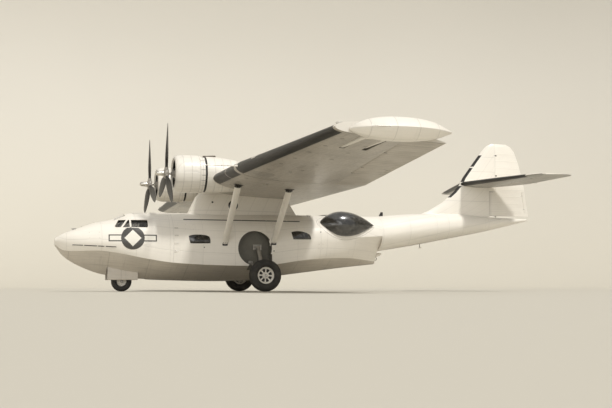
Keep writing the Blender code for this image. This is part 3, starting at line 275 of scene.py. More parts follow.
class Shade:
    """Builds the nodes of one material. A number goes into a socket, another value is linked."""

    # A Mix node's sockets for its factor and its two colours, and for the mixed colour
    MIX_INPUTS = (0, 6, 7)
    MIX_OUTPUT = 2

    def __init__(self, name, roughness=0.4, metallic=0.0, coat=0.0):
        self.material = bpy.data.materials.new(name)
        self.material.use_nodes = True
        self.tree = self.material.node_tree
        self.shader = self.tree.nodes["Principled BSDF"]
        self.shader.inputs["Roughness"].default_value = roughness
        self.shader.inputs["Metallic"].default_value = metallic
        self.shader.inputs["Coat Weight"].default_value = coat
        self.shader.inputs["Coat Roughness"].default_value = 0.12

    def put(self, socket, value):
        if isinstance(value, bpy.types.NodeSocket):
            self.tree.links.new(value, socket)
        elif isinstance(value, tuple) and len(value) == 3 and socket.type == "RGBA":
            socket.default_value = (*value, 1.0)
        else:
            socket.default_value = value

    def node(self, kind, settings=(), **values):
        node = self.tree.nodes.new("ShaderNode" + kind)
        for key, value in settings:
            setattr(node, key, value)
        for key, value in values.items():
            self.put(node.inputs[key], value)
        return node

    def fill(self, node, values):
        """Put values into a node's sockets in their order."""
        for socket, value in zip(node.inputs, values):
            self.put(socket, value)
        return node.outputs[0]

    def math(self, operation, first, second=0.0):
        return self.fill(self.node("Math", [("operation", operation)]), (first, second))

    def product(self, first, second):
        return self.math("MULTIPLY", first, second)

    def mix(self, factor, first, second):
        node = self.node("Mix", [("data_type", "RGBA")])
        for index, value in zip(self.MIX_INPUTS, (factor, first, second)):
            self.put(node.inputs[index], value)
        return node.outputs[self.MIX_OUTPUT]

    def ramp(self, value, low, high, start=0.0, end=1.0):
        return self.fill(self.node("MapRange", [("interpolation_type", "SMOOTHSTEP")]),
                         (value, low, high, start, end))

    def places(self):
        """The three coordinates of the surface at rest."""
        vector = self.node("TexCoord").outputs["Object"]
        return self.node("SeparateXYZ", Vector=vector).outputs

    def surface(self):
        """Distances along and across the skin, from its own map."""
        vector = self.node("UVMap", [("uv_map", "skin")]).outputs[0]
        parts = self.node("SeparateXYZ", Vector=vector).outputs
        return parts[0], parts[1]

    def stretched(self, u, v, along, across):
        """The skin's own map, stretched along and across."""
        return self.fill(self.node("CombineXYZ"), (self.product(u, along), self.product(v, across), 0.0))

    def noise(self, vector, scale, detail, roughness):
        node = self.node("TexNoise", Scale=scale, Detail=detail, Roughness=roughness)
        self.put(node.inputs["Vector"], vector)
        return node.outputs[0]

    def object_noise(self, scale, detail, roughness=0.55):
        return self.noise(self.node("TexCoord").outputs["Object"], scale, detail, roughness)

    def apart(self, value, spacing, offset=0.0):
        """Distance to the nearest of evenly spaced lines."""
        return self.math("PINGPONG", self.math("SUBTRACT", value, offset), spacing / 2)

    def nearest(self, value, places):
        """Distance to the nearest of some stated lines."""
        best = None
        for place in places:
            away = self.math("ABSOLUTE", self.math("SUBTRACT", value, place))
            best = away if best is None else self.math("MINIMUM", best, away)
        return best

    def line(self, away, half_width):
        return self.ramp(away, half_width * 0.5, half_width * 1.6, 1.0, 0.0)

    def rivets(self, away, along):
        """Round heads in a row on each side of a line."""
        across = self.math("SUBTRACT", away, RIVET_INSET)
        step = self.apart(along, RIVET_PITCH)
        reach = self.math("ADD", self.product(across, across), self.product(step, step))
        return self.ramp(reach, (RIVET_RADIUS * 0.6) ** 2, RIVET_RADIUS ** 2, 1.0, 0.0)

    def bump(self, height, distance=0.004, strength=1.0):
        node = self.node("Bump", Height=height, Distance=distance, Strength=strength)
        self.put(self.shader.inputs["Normal"], node.outputs[0])

    def colour(self, value):
        self.put(self.shader.inputs["Base Color"], value)

    def roughness(self, value):
        self.put(self.shader.inputs["Roughness"], value)


def times(colour, factor):
    return tuple(min(1.0, part * factor) for part in colour)


CREAM = (0.85, 0.806, 0.722)
# Grey for fittings; lightened, it is also the painted shade of the undersides.
GREY = (0.310, 0.284, 0.244)
WARM_BLACK = (0.018, 0.016, 0.013)


def skin_paint(name, colour, frames, stringers, line_width=0.010, *, streak, grime, dark_line,
               listed_u=(), listed_v=()):
    """Gloss paint over riveted sheet, with its laps, rivets, streaks and grime."""
    s = Shade(name, coat=0.25)
    u, v = s.surface()
    lap_u = s.apart(u, *frames)
    lap_v = s.apart(v, *stringers)
    lines = s.math("MAXIMUM", s.line(lap_u, line_width), s.product(s.line(lap_v, line_width), 0.7))
    for value, places in ((u, listed_u), (v, listed_v)):
        if places:
            lines = s.math("MAXIMUM", lines, s.line(s.nearest(value, places), line_width * 1.3))
    heads = s.math("MAXIMUM", s.rivets(lap_u, v), s.rivets(lap_v, u))
    broad = s.object_noise(0.8, 4.0)
    flow = s.noise(s.stretched(u, v, 0.5, 9.0), 1.6, 5.0, 0.6)
    runs = s.noise(s.stretched(u, v, 9.0, 0.7), 1.4, 4.0, 0.6)
    fine = s.object_noise(14.0, 5.0, 0.65)
    shade = s.mix(s.ramp(broad, 0.35, 0.70, 0.0, grime), colour, times(colour, 0.62))
    shade = s.mix(s.ramp(flow, 0.45, 0.75, 0.0, streak), shade, times(colour, 0.50))
    shade = s.mix(s.ramp(runs, 0.52, 0.78, 0.0, streak), shade, times(colour, 0.55))
    shade = s.mix(s.ramp(fine, 0.55, 0.75, 0.0, grime * 0.7), shade, times(colour, 0.66))
    shade = s.mix(s.product(lines, dark_line), shade, times(colour, 0.30))
    height = s.math("SUBTRACT", s.product(heads, 0.6), lines)
    s.colour(shade)
    s.roughness(s.ramp(fine, 0.3, 0.8, 0.30, 0.52))
    s.bump(height)
    return s.material


def plain_paint(name, colour, roughness, grime=0.2, scale=3.0, coat=0.2, metallic=0.0):
    """Paint or metal with broad and fine wear, for fittings."""
    s = Shade(name, roughness, metallic, coat)
    broad = s.object_noise(scale, 4.0)
    fine = s.object_noise(scale * 14, 5.0, 0.7)
    shade = s.mix(s.ramp(broad, 0.35, 0.70, 0.0, grime), colour, times(colour, 0.55))
    shade = s.mix(s.ramp(fine, 0.55, 0.75, 0.0, grime), shade, times(colour, 0.6))
    s.colour(shade)
    s.roughness(s.ramp(fine, 0.3, 0.8, max(0.05, roughness - 0.1), roughness + 0.15))
    s.bump(fine, 0.002, 0.4)
    return s.material


def cloth_paint(name, colour, spacing, tape_light, grime, streak):
    """Doped cloth over ribs: pinked tapes and stitches over each rib, weave and stains between."""
    s = Shade(name, 0.48, coat=0.1)
    u, v = s.surface()
    away = s.apart(u, spacing)
    weave = s.object_noise(220.0, 2.0)
    broad = s.object_noise(1.3, 4.0)
    flow = s.noise(s.stretched(u, v, 5.0, 0.8), 1.5, 5.0, 0.6)
    pinked = s.math("ADD", away, s.product(s.apart(v, 0.012), 0.35))
    tape = s.ramp(pinked, 0.021, 0.024, 1.0, 0.0)
    stitches = s.product(s.line(away, 0.004), s.line(s.apart(v, 0.06), 0.008))
    shade = s.mix(s.ramp(broad, 0.35, 0.70, 0.0, grime), colour, times(colour, 0.62))
    shade = s.mix(s.ramp(flow, 0.45, 0.78, 0.0, streak), shade, times(colour, 0.55))
    shade = s.mix(s.product(tape, 0.8), shade, times(colour, tape_light))
    edge = s.line(s.math("ABSOLUTE", s.math("SUBTRACT", pinked, 0.0225)), 0.003)
    shade = s.mix(s.product(edge, 0.35), shade, times(colour, 0.45))
    s.colour(shade)
    s.roughness(s.ramp(broad, 0.3, 0.8, 0.42, 0.58))
    height = s.math("ADD", s.product(tape, 0.5), s.product(weave, 0.06))
    s.bump(s.math("ADD", height, s.product(stitches, 0.6)), 0.003)
    return s.material


def rubber(name, colour, roughness):
    s = Shade(name, roughness)
    broad = s.object_noise(2.5, 4.0)
    fine = s.object_noise(60.0, 4.0, 0.7)
    shade = s.mix(s.ramp(broad, 0.35, 0.7), colour, times(colour, 2.4))
    shade = s.mix(s.ramp(fine, 0.5, 0.75, 0.0, 0.4), shade, times(colour, 4.0))
    s.colour(shade)
    s.bump(fine, 0.001, 0.5)
    return s.material


def metal(name, colour, roughness):
    s = Shade(name, roughness, 1.0)
    fine = s.object_noise(35.0, 5.0, 0.7)
    broad = s.object_noise(4.0, 3.0)
    s.colour(s.mix(s.ramp(broad, 0.35, 0.75, 0.0, 0.6), colour, times(colour, 0.55)))
    s.roughness(s.ramp(fine, 0.3, 0.75, max(0.04, roughness - 0.1), roughness + 0.2))
    s.bump(fine, 0.0015, 0.35)
    return s.material


def glass(name, colour, alpha, roughness=0.04, ior=1.5):
    s = Shade(name, roughness, coat=1.0)
    s.shader.inputs["IOR"].default_value = ior
    dust = s.object_noise(7.0, 5.0, 0.6)
    s.colour(s.mix(s.ramp(dust, 0.45, 0.75, 0.0, 0.3), colour, times(CREAM, 0.35)))
    s.put(s.shader.inputs["Alpha"], s.ramp(dust, 0.3, 0.8, alpha, min(1.0, alpha + 0.12)))
    s.bump(s.object_noise(3.0, 2.0), 0.003, 0.15)
    return s.material


M = {
    "side": skin_paint("hull_side_paint", CREAM, (1.22, 0.41), (3.2, 1.6), 0.006, grime=0.08, streak=0.09,
                       dark_line=0.20, listed_u=(4.2, 9.9, 15.6), listed_v=(0.45, 1.30, 1.72)),
    # Painted shade: the bottom's grey stands for the white skin under the chine as it looks facing the
    # floor.
    "bottom": skin_paint("hull_bottom_painted_shade", times(GREY, 1.95), (1.42, 0.50), (0.80, 0.0), 0.007,
                         grime=0.30, streak=0.35, dark_line=0.45),
    "top": skin_paint("wing_top_paint", CREAM, (0.70, 0.0), (0.92, 0.30), grime=0.12, streak=0.10,
                      dark_line=0.30),
    # Painted shade: the lower skin's grey stands for the white wing in shade.
    "under": skin_paint("wing_under_painted_shade", times(GREY, 1.55), (0.74, 0.0), (0.92, 0.30), grime=0.40,
                        streak=0.45, dark_line=0.30),
    # Painted shade: the grey of the lower cloth stands for white cloth in shade.
    "under_ribs": cloth_paint("wing_under_fabric_painted_shade", times(GREY, 1.62), 0.38, 1.2, 0.4, 0.4),
    "top_ribs": cloth_paint("wing_top_fabric", CREAM, 0.38, 1.04, 0.12, 0.10),
    "top_cloth": cloth_paint("flap_top_fabric", CREAM, 0.30, 1.04, 0.12, 0.10),
    # Painted shade: the ailerons' lower cloth is grey like the wing's shaded underside.
    "under_cloth": cloth_paint("flap_under_fabric_painted_shade", times(GREY, 1.66), 0.30, 1.25, 0.4, 0.35),
    # Painted shade: the elevators' lower cloth is cream darkened to the shade under the tail.
    "tail_cloth": cloth_paint("elevator_under_fabric_painted_shade", times(CREAM, 0.42), 0.25, 1.7, 0.3, 0.25),
    "rudder_cloth": cloth_paint("rudder_fabric", CREAM, 0.30, 1.04, 0.12, 0.10),
    "fin": skin_paint("fin_paint", CREAM, (0.62, 0.0), (0.55, 0.1), grime=0.1, streak=0.08, dark_line=0.22),
    # Painted shade: the tailplane's lower skin is cream darkened to the shade under the tail.
    "tail_under": skin_paint("tail_under_painted_shade", times(CREAM, 0.40), (0.40, 0.0), (0.52, 0.1), grime=0.3,
                             streak=0.25, dark_line=0.35),
    "boot": rubber("boot_rubber", times(WARM_BLACK, 0.55), 0.42),
    "cowl": skin_paint("cowl_paint", CREAM, (0.30, 0.09), (0.358, 0.0), line_width=0.008, grime=0.15,
                       streak=0.22, dark_line=0.35),
    # Near black, for the insides of wells, bays, slots and the cowl: painted shade in these recesses.
    "dark": plain_paint("recess_painted_shade", (0.030, 0.027, 0.022), 0.6),
    "primer": plain_paint("inside_primer", (0.16, 0.15, 0.12), 0.6, 0.35),
    "cream": plain_paint("cream_fittings", CREAM, 0.4, 0.15),
    "grey": plain_paint("grey_fittings", GREY, 0.45, 0.25),
    "black": plain_paint("black_paint", WARM_BLACK, 0.42, 0.6, 5.0),
    "steel": metal("gear_steel", (0.42, 0.40, 0.36), 0.35),
    "chrome": metal("oleo_chrome", (0.80, 0.78, 0.73), 0.12),
    "alloy": metal("engine_alloy", (0.33, 0.31, 0.27), 0.45),
    "dome": metal("hub_metal", (0.72, 0.69, 0.62), 0.22),
    "tyre": rubber("tyre_rubber", (0.022, 0.020, 0.017), 0.75),
    "glass": glass("clear_glass", (0.02, 0.02, 0.018), 0.35),
    "blister": glass("blister_glass", (0.012, 0.011, 0.009), 0.62, 0.22, 1.95),
    # Near-black, almost opaque panes: painted shade for the dark rooms behind the windows.
    "pane": glass("window_pane_painted_shade", (0.010, 0.009, 0.008), 0.97),
    "leather": plain_paint("seat_leather", (0.10, 0.065, 0.04), 0.55, 0.5, 8.0, 0.0),
    "exhaust": plain_paint("burnt_exhaust", (0.09, 0.07, 0.05), 0.55, 0.6, 6.0, 0.0, 0.7),
    "mark": plain_paint("mark_slate", (0.060, 0.056, 0.048), 0.4, 0.3),
    "mark_light": plain_paint("mark_light", (0.84, 0.81, 0.72), 0.4, 0.08),
    "walk": plain_paint("walkway_grit", times(GREY, 0.85), 0.85, 0.35, 9.0, 0.0),
    # Painted shade: a plate under the wing, grey like the lower skin.
    "plate": skin_paint("wing_plate_painted_shade", times(GREY, 1.31), (0.74, 0.0), (0.92, 0.30), grime=0.4,
                        streak=0.3, dark_line=0.3),
    "lamp": glass("lamp_glass", (0.5, 0.48, 0.42), 0.85),
}

# Building pieces


def skin_map(bm):
    return bm.loops.layers.uv.get("skin") or bm.loops.layers.uv.new("skin")


def flat_faces(bm, layer, faces, tone=0):
    """Faces whose map is their place aft and up."""
    for face in faces:
        made = bm.faces.new(face)
        made.material_index = tone
        for loop in made.loops:
            loop[layer].uv = (loop.vert.co.y, loop.vert.co.z)


def add_skin(bm, rings, tone=0, girth=None, along=None, caps=(True, True), closed=True):
    """Quads between rings, with distances along and round the skin in the map named skin.

    tone is a slot number, or a function of ring and point numbers. girth gives each
    point's distance round its ring, and along each ring's distance along the skin.
    """
    layer = skin_map(bm)
    rows = [[bm.verts.new(point) for point in ring] for ring in rings]
    count = len(rows[0])
    if along is None:
        along = running((after[0] - before[0]).length for before, after in zip(rings, rings[1:]))
    if girth is None:
        lengths = [running((ring[k % count] - ring[k - 1]).length for k in range(1, count + 1))
                   for ring in rings]

        def girth(row, point):
            return lengths[row][point]

    for row in range(len(rows) - 1):
        for point in range(count if closed else count - 1):
            after = (point + 1) % count
            face = bm.faces.new((rows[row][point], rows[row][after], rows[row + 1][after],
                                 rows[row + 1][point]))
            face.material_index = tone(row, point) if callable(tone) else tone
            corners = ((row, point), (row, point + 1), (row + 1, point + 1), (row + 1, point))
            for loop, (i, j) in zip(face.loops, corners):
                loop[layer].uv = (along[i], girth(i, j))
    for wanted, row in ((caps[0], 0), (caps[1], -1)):
        if wanted and closed:
            face = bm.faces.new(rows[row])
            face.material_index = tone(0 if row == 0 else len(rows) - 2, 0) if callable(tone) else tone
            for loop in face.loops:
                loop[layer].uv = (along[row], 0.3)
    return rows


def ring_round(centre, first, second, radius, other=None, sides=24):
    other = radius if other is None else other
    return [centre + first * (math.cos(a) * radius) + second * (math.sin(a) * other)
            for a in (2 * math.pi * k / sides for k in range(sides))]


def crossways(axis):
    """Two directions square to an axis and to each other."""
    side = axis.cross(Vector((0, 0, 1)))
    if side.length < 1e-4:
        side = Vector((1, 0, 0))
    side.normalize()
    return side, axis.cross(side).normalized()


def add_tube(bm, points, radii, sides, tone=0, flat=1.0):
    """A round bar along points, with its radius at each."""
    points = [Vector(p) for p in points]
    radii = radii if isinstance(radii, (list, tuple)) else [radii] * len(points)
    side, up = crossways((points[-1] - points[0]).normalized())
    rings = [ring_round(p, side, up, r, r * flat, sides) for p, r in zip(points, radii)]
    return add_skin(bm, rings, tone)


def add_turned(bm, profile, centre, axis, sides=32, tone=0, closed=False, tones=None):
    """Turn (radius, distance) pairs about an axis. A zero radius closes to a point."""
    side, up = crossways(axis)
    rings = [ring_round(centre + axis * along, side, up, max(radius, 0.0004), sides=sides)
             for radius, along in profile]
    pick = (lambda row, point: tones[row]) if tones else tone
    if closed:
        rings.append(rings[0])
    reach = running(math.dist(before, after) for before, after in zip(profile, profile[1:] + profile[:1]))
    rows = add_skin(bm, rings, pick, along=reach[:len(rings)], caps=(not closed, not closed),
                    girth=lambda row, point: profile[row % len(profile)][0] * 2 * math.pi * point / sides)
    if closed:
        bmesh.ops.remove_doubles(bm, verts=rows[0] + rows[-1], dist=1e-6)


def add_box(bm, low, high, tone=0, turn=None):
    """A block between two corners, in metres of the frame."""
    verts = [bm.verts.new((x, y, z)) for x in (low[0], high[0]) for y in (low[1], high[1])
             for z in (low[2], high[2])]
    if turn is not None:
        centre = sum((v.co for v in verts), Vector()) / 8
        for v in verts:
            v.co = centre + turn @ (v.co - centre)
    for face in ((0, 1, 3, 2), (4, 6, 7, 5), (0, 4, 5, 1), (2, 3, 7, 6), (0, 2, 6, 4), (1, 5, 7, 3)):
        made = bm.faces.new([verts[k] for k in face])
        made.material_index = tone
    return verts


def settle(obj):
    """Replace the mesh by what its modifiers make of it."""
    bpy.context.view_layer.update()
    graph = bpy.context.evaluated_depsgraph_get()
    mesh = bpy.data.meshes.new_from_object(obj.evaluated_get(graph), preserve_all_data_layers=True,
                                           depsgraph=graph)
    obj.modifiers.clear()
    obj.data = mesh


def raw(name, bm, materials):
    bmesh.ops.recalc_face_normals(bm, faces=bm.faces)
    mesh = bpy.data.meshes.new(name)
    bm.to_mesh(mesh)
    bm.free()
    for material in materials:
        mesh.materials.append(M[material])
    obj = bpy.data.objects.new(name, mesh)
    bpy.context.scene.collection.objects.link(obj)
    return obj


def carve(obj, cutters):
    """Cut solids out of a piece and drop them. Cut faces take the cutter's material."""
    for cutter in cutters:
        boolean = obj.modifiers.new("cut", "BOOLEAN")
        boolean.operation = "DIFFERENCE"
        boolean.solver = "EXACT"
        boolean.material_mode = "TRANSFER"
        boolean.object = cutter
    settle(obj)
    for cutter in cutters:
        bpy.data.objects.remove(cutter)


def piece(name, bm, materials, body="airframe", nodes=(), angle=30.0, cutters=()):
    """Finish a piece: its materials, cuts, edges, shading, body and the nodes it stands for."""
    obj = raw(name, bm, materials)
    if cutters:
        carve(obj, cutters)
    obj.data.shade_smooth()
    obj.data.set_sharp_from_angle(angle=math.radians(angle))
    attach(obj, body)
    if nodes:
        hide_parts(*nodes)
    return obj


# Hull


def deck_curve(wide, wide_height, deck_height, steps):
    power = 2.0 / DECK_ROUNDNESS
    points = []
    for step in range(1, steps + 1):
        angle = math.pi / 2 * step / steps
        port = wide * max(0.0, math.cos(angle)) ** power if step < steps else 0.0
        points.append((port, wide_height + (deck_height - wide_height) * math.sin(angle) ** power))
    return points


def mirrored(half):
    return half + [(-port, height) for port, height in half[-2:0:-1]]


def half_outline(table, station):
    """The port half of the hull's section, from the keel to the middle of the deck."""
    keel, chine, chine_height, flank, flank_height, wide, wide_height, deck = table_row(table, station)
    half = [(0.0, keel)]
    for step in range(1, BOTTOM_STEPS + 1):
        t = step / BOTTOM_STEPS
        half.append((chine * t, spread(keel, chine_height, t) - 0.06 * chine * t * (1 - t)))
    for step in range(1, FLANK_STEPS + 1):
        t = step / FLANK_STEPS
        r = 1 - t
        half.append((r * r * chine + 2 * r * t * flank + t * t * wide,
                     r * r * chine_height + 2 * r * t * flank_height + t * t * wide_height))
    return half + deck_curve(wide, wide_height, deck, DECK_STEPS)


def hull_skin(bm, table, stations, bottom_tone, side_tone):
    rings = []
    girths = []
    for station in stations:
        half = half_outline(table, max(station, NOSE_ROUNDING))
        if station < NOSE_ROUNDING:
            share = math.sqrt(max(0.0, 1 - (1 - station / NOSE_ROUNDING) ** 2))
            share = max(share, 0.02)
            half = [(port * share, height * share) for port, height in half]
        reach = running(math.dist(before, after) for before, after in zip(half, half[1:]))
        zero = reach[BOTTOM_STEPS]
        girths.append([value - zero for value in reach])
        rings.append([at(station, port, height) for port, height in mirrored(half)])
    count = len(rings[0])

    def girth(row, point):
        point = point if point <= count // 2 else count - point
        return girths[row][point]

    # Points under the chine take the bottom's slot; on the hull's skin that slot's grey is painted shade.
    def tone(row, point):
        return bottom_tone if point < BOTTOM_STEPS or point >= count - BOTTOM_STEPS else side_tone

    add_skin(bm, rings, tone, girth, list(stations))


def lined_half(table, floors, station):
    """The port half of the room inside the hull, from the middle of its floor to the middle of its roof."""
    floor, floor_half = straight_row(floors, station)
    wide, wide_height, deck = table_row(table, station)[5:]
    side = wide - HULL_WALL
    half = [(0.0, floor), (floor_half, floor),
            (spread(floor_half, side, 0.5), spread(floor, wide_height, 0.5)), (side, wide_height)]
    return half + deck_curve(side, wide_height, deck - HULL_WALL, 8)


def room(name, table, floors, stations):
    """The solid of the air inside the hull, lined with primer."""
    bm = bmesh.new()
    add_skin(bm, [[at(station, port, height)
                   for port, height in mirrored(lined_half(table, floors, station))]
                  for station in stations])
    bmesh.ops.triangulate(bm, faces=bm.faces)
    return raw(name, bm, ["primer"])


def hull_solid(name, table, first, last, count, material="cream"):
    bm = bmesh.new()
    hull_skin(bm, table, steps_between(first, last, count), 0, 0)
    return raw(name, bm, [material])


def block(name, low, high, material="dark"):
    bm = bmesh.new()
    add_box(bm, *zip(*(sorted(pair) for pair in zip(at(*low), at(*high)))))
    return raw(name, bm, [material])


def rod_solid(name, start, end, radius, material="dark", sides=20):
    bm = bmesh.new()
    add_tube(bm, [start, end], radius, sides)
    return raw(name, bm, [material])


def solid(name, rings, material="dark"):
    bm = bmesh.new()
    add_skin(bm, rings)
    return raw(name, bm, [material])


def spindle_radius(place, growth=0.0):
    """The blister's radius at a station: pointed at both ends, more so at the rear."""
    station, _, _, radius, front, rear = BLISTER
    reach, power = (front, 0.75) if place < station else (rear, 1.05)
    share = min(1.0, abs(place - station) / (reach + growth * 2))
    return (radius + growth) * (1 - share ** 2) ** power


def spindle(side, growth, rows=28, sides=56):
    bm = bmesh.new()
    station, port, height, _, front, rear = BLISTER
    profile = []
    for angle in steps_between(0.0, math.pi, rows):
        reach = -((front if angle < math.pi / 2 else rear) + growth * 2) * math.cos(angle)
        profile.append((spindle_radius(station + reach, growth), reach))
    add_turned(bm, profile, at(station, side * port, height), Y, sides)
    return bm


def hull_section(name, node, table, stations, cutters=()):
    bm = bmesh.new()
    hull_skin(bm, table, stations, 0, 1)
    piece(name, bm, ["bottom", "side"], nodes=[node], angle=28, cutters=cutters)


def make_bow():
    front, rear, half, ceiling = NOSE_WELL
    cutters = [room("cockpit_air", FOREBODY, COCKPIT_FLOOR, [1.45, 1.8] + steps_between(2.05, 4.30, 12)),
               block("nose_well_air", (front, -half, -1.9), (rear, half, ceiling))]
    cutters += [solid("pane_air_%d" % index, [[at(a, port, b) for a, b in outline] for port in (-2.0, 2.0)],
                      "cream")
                for index, outline in enumerate(SIDE_PANES)]
    cutters += [block("roof_air_%d_%d" % (index, side), (a, side * inner, 0.45), (b, side * outer, 1.5),
                      "cream")
                for index, (a, b, inner, outer) in enumerate(TOP_PANES) for _, side in SIDES]
    stations = [0.0, 0.004, 0.012, 0.025, 0.042, 0.06, 0.10, 0.15, 0.22, 0.30, 0.40, 0.50, 0.62]
    hull_section("bow_skin", "hull_bow", FOREBODY, stations + steps_between(0.76, BOW_END, 28), cutters)


def make_centre():
    cutters = []
    centre = at(WELL_STATION, 0, WELL_HEIGHT)
    for _, side in SIDES:
        cutters.append(rod_solid("well_air_%d" % side, centre + X * (side * WELL_BACK),
                                 centre + X * (side * 2.2), WELL_RADIUS, "primer", 72))
        cutters.append(block("slot_air_%d" % side, (7.02, side * (WELL_BACK + 0.05), -1.3),
                             (7.92, side * 2.2, -0.45), "primer"))
    hull_section("centre_skin", "hull_centre", FOREBODY, steps_between(BOW_END + PLANE_GAP, MAIN_STEP, 26),
                 cutters)


def make_rear_hull():
    cutters = [room("waist_air", AFTERBODY, WAIST_FLOOR, [7.90] + steps_between(8.0, 12.2, 14))]
    cutters += [raw("blister_air_%d" % side, spindle(side, -0.06), ["cream"]) for _, side in SIDES]
    hull_section("waist_skin", "hull_waist", AFTERBODY,
                 steps_between(MAIN_STEP + PLANE_GAP, SECOND_STEP, 36), cutters)
    hull_section("boom_skin", "hull_tail", BOOM, steps_between(SECOND_STEP + PLANE_GAP, BOOM_END, 44))


# Wing

BOOT = 0.27
WING_NORMAL = Vector((0.0, math.sin(WING_INCIDENCE), math.cos(WING_INCIDENCE)))
WING_BACK = Vector((0.0, math.cos(WING_INCIDENCE), -math.sin(WING_INCIDENCE)))


def camber_height(t, camber=WING_CAMBER):
    top = 0.4
    if t < top:
        return camber / top ** 2 * (2 * top * t - t * t)
    return camber / (1 - top) ** 2 * (1 - 2 * top + 2 * top * t - t * t)


def foil(t, thickness):
    return 5 * thickness * (0.2969 * math.sqrt(t) - 0.1260 * t - 0.3516 * t ** 2 + 0.2843 * t ** 3
                            - 0.1015 * t ** 4)


def wing_place(out, fraction):
    lead, height, chord, ratio = straight_row(WING, abs(out))
    along = fraction * chord
    rise = camber_height(fraction) * chord
    station = lead + along * math.cos(WING_INCIDENCE) + rise * math.sin(WING_INCIDENCE)
    level = height - along * math.sin(WING_INCIDENCE) + rise * math.cos(WING_INCIDENCE)
    return station, level, foil(fraction, ratio * chord)


def wing_point(out, reach, top):
    """A point of the wing's skin at a distance behind its leading edge."""
    lead, height, chord, ratio = straight_row(WING, abs(out))
    t = min(max(reach / chord, 0.0), 1.0)
    return (at(lead, out, height) + WING_BACK * (t * chord)
            + WING_NORMAL * (camber_height(t) * chord + top * foil(t, ratio * chord)))


# A foil's columns under the boot, the first one past the hinge line, and how many are past it
BOOT_COLUMNS, HINGE_COLUMN, REAR_COLUMNS = 6, 18, 6


def chord_columns(chord, boot, hinge):
    """Fractions of the chord, with columns at the boot's rear edge and at the hinge line."""
    front = boot / chord
    between = HINGE_COLUMN - BOOT_COLUMNS
    columns = [front * (k / BOOT_COLUMNS) ** 2 for k in range(BOOT_COLUMNS + 1)]
    columns += [spread(front, hinge, k / between) for k in range(1, between + 1)]
    return columns + [spread(hinge, 1.0, k / REAR_COLUMNS) for k in range(1, REAR_COLUMNS + 1)]


def foil_skin(bm, spans, section, tone):
    """A skin over sections. section gives a span's nose, chord direction, normal, thickness, camber,
    boot reach and hinge fraction. tone takes the span, the column and whether it's the upper side."""
    rings, girths = [], []
    for span in spans:
        lead, trail, normal, thickness, camber, boot, hinge = section(span)
        chord = (trail - lead).length
        along = (trail - lead).normalized()
        columns = chord_columns(chord, boot, hinge)
        upper, lower = ([lead + along * (t * chord)
                         + normal * (camber_height(t, camber) * chord + way * foil(t, thickness))
                         for t in columns] for way in (1, -1))
        rings.append(upper + lower[:0:-1])
        reach = [t * chord for t in columns]
        girths.append(reach + reach[::-1])
    count = HINGE_COLUMN + REAR_COLUMNS + 1

    def pick(row, point):
        top = point < count
        column = point if top else 2 * count - 2 - point
        middle = (spans[row] + spans[min(row + 1, len(spans) - 1)]) / 2
        return tone(middle, column, top)

    add_skin(bm, rings, pick, lambda row, point: girths[row][point], list(spans))


def wing_section(out):
    lead, height, chord, ratio = straight_row(WING, abs(out))
    front = at(lead, out, height)
    return (front, front + WING_BACK * chord, WING_NORMAL, ratio * chord, WING_CAMBER, BOOT,
            1 - AILERON_CHORD / chord)


BOOT_SPANS = ((2.80, 4.78), (4.84, 6.20), (6.46, 14.88))


def wing_tone(out, column, top):
    """0 upper paint, 1 lower paint in painted shade, 2 boot, 3 upper cloth, 4 lower cloth in painted shade.
    """
    if column < BOOT_COLUMNS and any(low < abs(out) < high for low, high in BOOT_SPANS):
        return 2
    if column >= HINGE_COLUMN and abs(out) > WING_JOINT:
        return 3 if top else 4
    return 0 if top else 1


def aileron_hinge(out):
    chord = straight_row(WING, abs(out))[2]
    station, level, half = wing_place(out, 1.0 - AILERON_CHORD / chord)
    rear_station, rear_level, _ = wing_place(out, 1.0)
    return at(station, out, level), at(rear_station, out, rear_level), half - 0.002


def bay_ring(hinge, back, normal, radius):
    """The section of the space that a moving surface turns in."""
    edge = math.radians(62.0)
    lip = radius * math.cos(edge) - 0.003
    ring = [hinge + back * 3.0 - normal * 0.6, hinge - back * lip - normal * 0.6]
    for angle in steps_between(-edge, edge, 12):
        ring.append(hinge - back * (radius * math.cos(angle)) + normal * (radius * math.sin(angle)))
    return ring + [hinge - back * lip + normal * 0.6, hinge + back * 3.0 + normal * 0.6]


WING_MATERIALS = ["top", "under", "boot", "top_ribs", "under_ribs"]


def outer_wing_cutters(name, side):
    """The aileron's bay, and the room for the float's legs, their pins and the bar between them."""
    def room_block(title, front, rear, inner, outer, over):
        return block(title, (front, side * inner, 1.2), (rear, side * outer, FLOAT_AXIS_HEIGHT + over),
                     "primer")

    bay = []
    for out in (AILERON_START, AILERON_END):
        hinge, _, radius = aileron_hinge(side * out)
        bay.append(bay_ring(hinge, WING_BACK, WING_NORMAL, radius + RUNNING_GAP))
    cutters = [solid("bay_" + name, bay)]
    for index, station in enumerate(FLOAT_LEGS):
        cutters.append(room_block("leg_room_%s_%d" % (name, index), station - 0.075, station + 0.075,
                                  FLOAT_HINGE - 0.08, 15.5, 0.08))
        first, last = (at(station + way * 0.135, side * FLOAT_HINGE, FLOAT_AXIS_HEIGHT) for way in (-1, 1))
        cutters.append(rod_solid("pin_room_%s_%d" % (name, index), first, last, 0.0212))
    return cutters + [room_block("bar_room_" + name, *FLOAT_LEGS, 14.68, 14.82, 0.06)]


